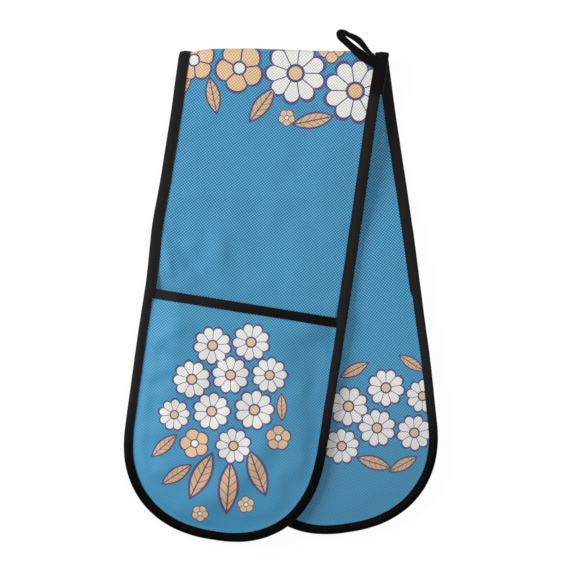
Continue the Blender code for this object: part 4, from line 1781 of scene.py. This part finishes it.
@dataclass
class HangingLoop:
    """A loop of woven tape, flattened a little, that comes out beside the tab.

    It is a teardrop with a slim eye, whose legs touch near the root. An edge's belly is the height, the
    middle and the reach of its bulge.
    """

    finishes: Finishes
    thickness: float = 0.0018
    length: float = 0.0436
    sewn_in: float = 0.0045
    step: float = 0.0011
    eye: tuple[float, float] = (0.0140, 0.0347)
    eye_arch: float = 0.0012
    eye_dip: float = 0.00065
    apart: float = 0.00004
    tip_apart: float = 0.00002
    seam_slope: float = 0.07
    lower_edge: float = -0.0059
    upper_edge: float = 0.0036
    lower_belly: tuple[float, float, float] = (-0.0019, 0.0135, 0.0120)
    upper_belly: tuple[float, float, float] = (0.0047, 0.0235, 0.0125)
    turns: int = 22
    rise: float = math.radians(38.3)
    root: tuple[float, float, float] = (0.08323777, 0.20346566, 0.0201)
    free_run: float = 0.007
    lifts: tuple[float, float, float] = (0.0007, 0.0006, 0.0004)
    tilt: float = 0.0009
    root_thickness: float = 0.6
    roundness: float = 0.8
    bends_to: tuple[float, float, float] = (-0.006, 0.0009, 0)

    def edge(self, start: float, belly: tuple[float, float, float], place: float) -> float:
        """How far aside an outer edge is at a place."""
        return start + belly[0] * float(hump(place, *belly[1:]))

    def edges(self) -> list[tuple[float, float, float, float]]:
        """Pairs of points on the tape's inner and outer edge, from one end round to the other.

        Returns:
            Along and aside of the inner point, then of the outer point, from the root's middle.
        """
        near, far = self.eye
        lower, upper = [], []
        for place in spaced(-self.sewn_in, far, self.step):
            opened = math.sin(math.pi * min(1.0, max(0.0, (place - near) / (far - near))))
            seam = self.seam_slope * min(max(place, 0.0), near)
            low = self.edge(self.lower_edge, self.lower_belly, place)
            high = self.edge(self.upper_edge, self.upper_belly, place)
            lower.append((place, seam - self.eye_dip * math.sqrt(opened) - self.apart, place, low))
            upper.append((place, seam + self.eye_arch * opened + self.apart, place, high))
        middle, reach = (lower[-1][3] + upper[-1][3]) / 2, (upper[-1][3] - lower[-1][3]) / 2
        bend = []
        for angle in (math.pi * step / self.turns for step in range(1, self.turns)):
            out = far + (self.length - far) * math.sin(angle)
            seam = self.seam_slope * near + self.tip_apart * (angle - 1.5)
            bend.append((far, seam, out, middle - reach * math.cos(angle)))
        return lower + bend + upper[::-1]

    def build(self) -> None:
        """Makes the tape, which stays sewn at its root and bends up from there."""
        out = np.array([-math.cos(self.rise), math.sin(self.rise), 0])
        side = np.array([math.sin(self.rise), math.cos(self.rise), 0])
        root = np.array(self.root)
        turn = 2 * np.pi * np.arange(self.turns) / self.turns
        circle = np.array([np.cos(turn), np.sin(turn)])
        wide, high = np.copysign(np.abs(circle) ** self.roundness, circle)
        rings, middles = [], []
        edges = self.edges()
        for number, (along_in, aside_in, along_out, aside_out) in enumerate(edges):
            share = math.pi * number / (len(edges) - 1)
            inner = root + out * along_in + side * aside_in
            outer = root + out * along_out + side * aside_out
            middle, half = (inner + outer) / 2, (outer - inner) / 2
            free = eased((along_in + along_out) / 2, 0, self.free_run)
            rise, arch, wave = self.lifts
            lift = rise * free + arch * math.sin(share) + wave * math.sin(3 * share)
            tilt = self.tilt * math.sin(2 * share) * free
            thick = self.thickness / 2 * (self.root_thickness + (1 - self.root_thickness) * free)
            ring = middle + np.outer(wide, half)
            ring[:, 2] += lift + high * thick + tilt * wide
            rings.append(ring)
            middles.append(middle)
        piece = swept("hanging_loop_dressed", rings, running_lengths(middles), self.finishes.loop_tape)
        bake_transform(piece)
        claim(piece, "hanging_loop")


# Across, strip, radius and turn of each motif: a row along the fold, a posy on each pocket.
PRINT_SPOTS = {
    Motif.DAISY: (
        (14, 21, 29, 12), (70, 29, 30, 33), (93, -6, 14, 0), (10, 268, 18, 50), (-24, 276, 18, 5),
        (-4, 300, 18, 22), (31, 295, 17, 30), (-38, 309, 18, 10), (22, 328, 19, 70), (-16, 335, 18, 31),
        (-49, 343, 15, 66), (8, 363, 17, 15), (14, -330, 19, 18), (50, -318, 18, 62), (82, -330, 16, 80),
        (37, -353, 18, 9), (3, -365, 17, 44), (70, -362, 17, 25), (-20, -345, 15, 11), (-44, -318, 17, 40),
    ),
    Motif.ROUND: (
        (-37, 24, 23, 20), (-79, 23, 20, 40), (43, -5, 13, 8), (-12, -6, 9, 20), (-59, -3, 11, 31),
        (12, 62, 8, 10), (47, 350, 12, 48), (-27, 366, 14, 31), (-13, 428, 8, 5), (27, 414, 8, 40),
        (-60, -350, 15, 12),
    ),
    Motif.LEAF: (
        (-12, 54, 20, 118), (-57, 52, 18, 70), (36, 61, 20, 160), (-86, 50, 14, 120), (46, 322, 13, 80),
        (-54, 372, 16, 130), (-17, 394, 24, 108), (9, 401, 25, 86), (33, 384, 23, 62), (-39, 396, 17, 138),
        (24, -298, 15, 20), (76, -299, 14, 140), (30, -384, 17, 155), (56, -389, 15, 20), (-36, -378, 16, 60),
    ),
}
PRINT = tuple(Printed(motif, *spot) for motif, spots in PRINT_SPOTS.items() for spot in spots)


@dataclass(frozen=True)
class Softbox:
    """A square soft light that looks at the glove."""

    name: str
    spot: tuple[float, float, float]
    size: float
    power: float

    def build(self) -> None:
        """Hangs the light."""
        data = bpy.data.lights.new(self.name, "AREA")
        data.size = self.size
        data.energy = self.power
        lamp = bpy.data.objects.new(self.name, data)
        lamp.location = self.spot
        lamp.rotation_euler = (-Vector(self.spot)).to_track_quat("-Z", "Y").to_euler()
        bpy.context.scene.collection.objects.link(lamp)


@dataclass
class Studio:
    """A pale table, a big soft light from the upper left, and a camera straight above."""

    frame_width: float = 0.5194
    height: float = 3.0
    glove_top: float = 0.020
    centre: tuple[float, float] = (0.0042, -0.0014)
    roll: float = math.radians(0.31)
    sensor: float = 36
    far: float = 20
    table_reach: float = 3.0
    white: float = 1.04
    table_white: float = 0.90
    sky: float = 0.18
    lights: tuple[Softbox, ...] = (
        Softbox("left_softbox", (-2.60, 1.05, 1.72), 1.7, 100.0),
        Softbox("overhead_softbox", (0.55, 0.10, 1.50), 0.7, 9.8),
    )

    def build(self) -> None:
        """Makes the table, lights, world and camera."""
        self.table()
        for light in self.lights:
            light.build()
        self.world()
        self.camera()
        bpy.context.scene.view_settings.view_transform = "Standard"

    def table(self) -> None:
        """A white table that shows white to the camera and still takes a faint shadow."""
        mesh = bpy.data.meshes.new("table")
        far = self.table_reach
        mesh.from_pydata([(-far, -far, 0), (far, -far, 0), (far, far, 0), (-far, far, 0)], [], [range(4)])
        table = linked("table", mesh)
        material = bpy.data.materials.new("white_sweep")
        material.use_nodes = True
        tree = material.node_tree
        paper = tree.nodes["Principled BSDF"]
        paper.inputs["Base Color"].default_value = (0.82, 0.82, 0.82, 1)
        paper.inputs["Roughness"].default_value = 0.9
        steps = (
            ("glow", "glow", {"Color": (1, 1, 1, 1), "Strength": self.white}),
            ("path", "light_path"),
            ("seen", "MAXIMUM", "path.Is Camera Ray", "path.Is Glossy Ray"),
            ("share", "MULTIPLY", "seen", self.table_white),
            ("mixed", "mixed_shaders", "share", "paper", "glow"),
        )
        mixed = wire(tree, steps, {"paper": paper.outputs[0]})["mixed"]
        tree.links.new(mixed, tree.nodes["Material Output"].inputs["Surface"])
        mesh.materials.append(material)

    def world(self) -> None:
        """Even light from all round, which the camera sees as plain white."""
        world = bpy.data.worlds.new("studio")
        world.use_nodes = True
        tree = world.node_tree
        background = tree.nodes["Background"].inputs
        background["Color"].default_value = (1, 1, 1, 1)
        steps = (
            ("path", "light_path"),
            ("strength", "range", "path.Is Camera Ray", 0.0, 1.0, self.sky, self.white),
        )
        tree.links.new(wire(tree, steps, {})["strength"], background["Strength"])
        bpy.context.scene.world = world

    def camera(self) -> None:
        """A camera that looks straight down, turned a hair as the photograph is."""
        data = bpy.data.cameras.new("camera")
        data.sensor_width = self.sensor
        data.lens = self.sensor * (self.height - self.glove_top) / self.frame_width
        data.clip_end = self.far
        camera = bpy.data.objects.new("camera", data)
        camera.location = (*self.centre, self.height)
        camera.rotation_euler = (0, 0, self.roll)
        bpy.context.scene.collection.objects.link(camera)
        bpy.context.scene.camera = camera


def make_finishes() -> Finishes:
    """The glove's materials."""
    return Finishes(
        cloth=PrintedPlainWeave("printed_plain_weave", PRINT).make(),
        # painted shade: the edge tape is darker round the strip's round end
        tape=BiasTape("black_bias_tape").make(),
        # painted shade: the mouth tape darkens towards its right end
        mouth_tape=BiasTape("black_bias_tape_of_mouth", painted_shade_colour="121110", shade_middle=0.235).make(),
        loop_tape=BiasTape("black_woven_tape", colour="0F0E0D", painted_shade_colour="0F0E0D").make(),
        thread=FibrousStuff("black_polyester_thread", "121214", "070708", 0.6, 900.0, 0.00005, 0.0).make(),
        wadding=FibrousStuff("needled_wadding", "E6E3DB", "BDB9AE", 0.95, 500.0, 0.0004).make(),
        lining=FibrousStuff("plain_cotton_lining", "D8DAD8", "B4B8B6", 0.88, 700.0, 0.0002).make(),
    )


def main() -> None:
    """Builds the studio and the glove."""
    logging.basicConfig(level=logging.INFO, format="%(message)s")
    Studio().build()
    strip = FoldedStrip(StripSizes(), PocketSizes(), EDGE_TAPE)
    finishes = make_finishes()
    tape_kit = (finishes, Stitching(StitchSizes(), finishes.thread), TapeSection())
    relief = Relief(strip)
    plans = [HalfPlan(strip, side, MeshSteps()) for side in Side]
    for plan in plans:
        PaddedStrip(plan, relief, finishes).build()
        Pocket(plan, relief, finishes).build()
        EdgeBinding(plan, *tape_kit).build()
        MouthBinding(plan, *tape_kit).build()
    EndTab(plans[0], *tape_kit).build()
    HangingLoop(finishes).build()
    bpy.context.view_layer.update()


if __name__ == "__main__":
    main()
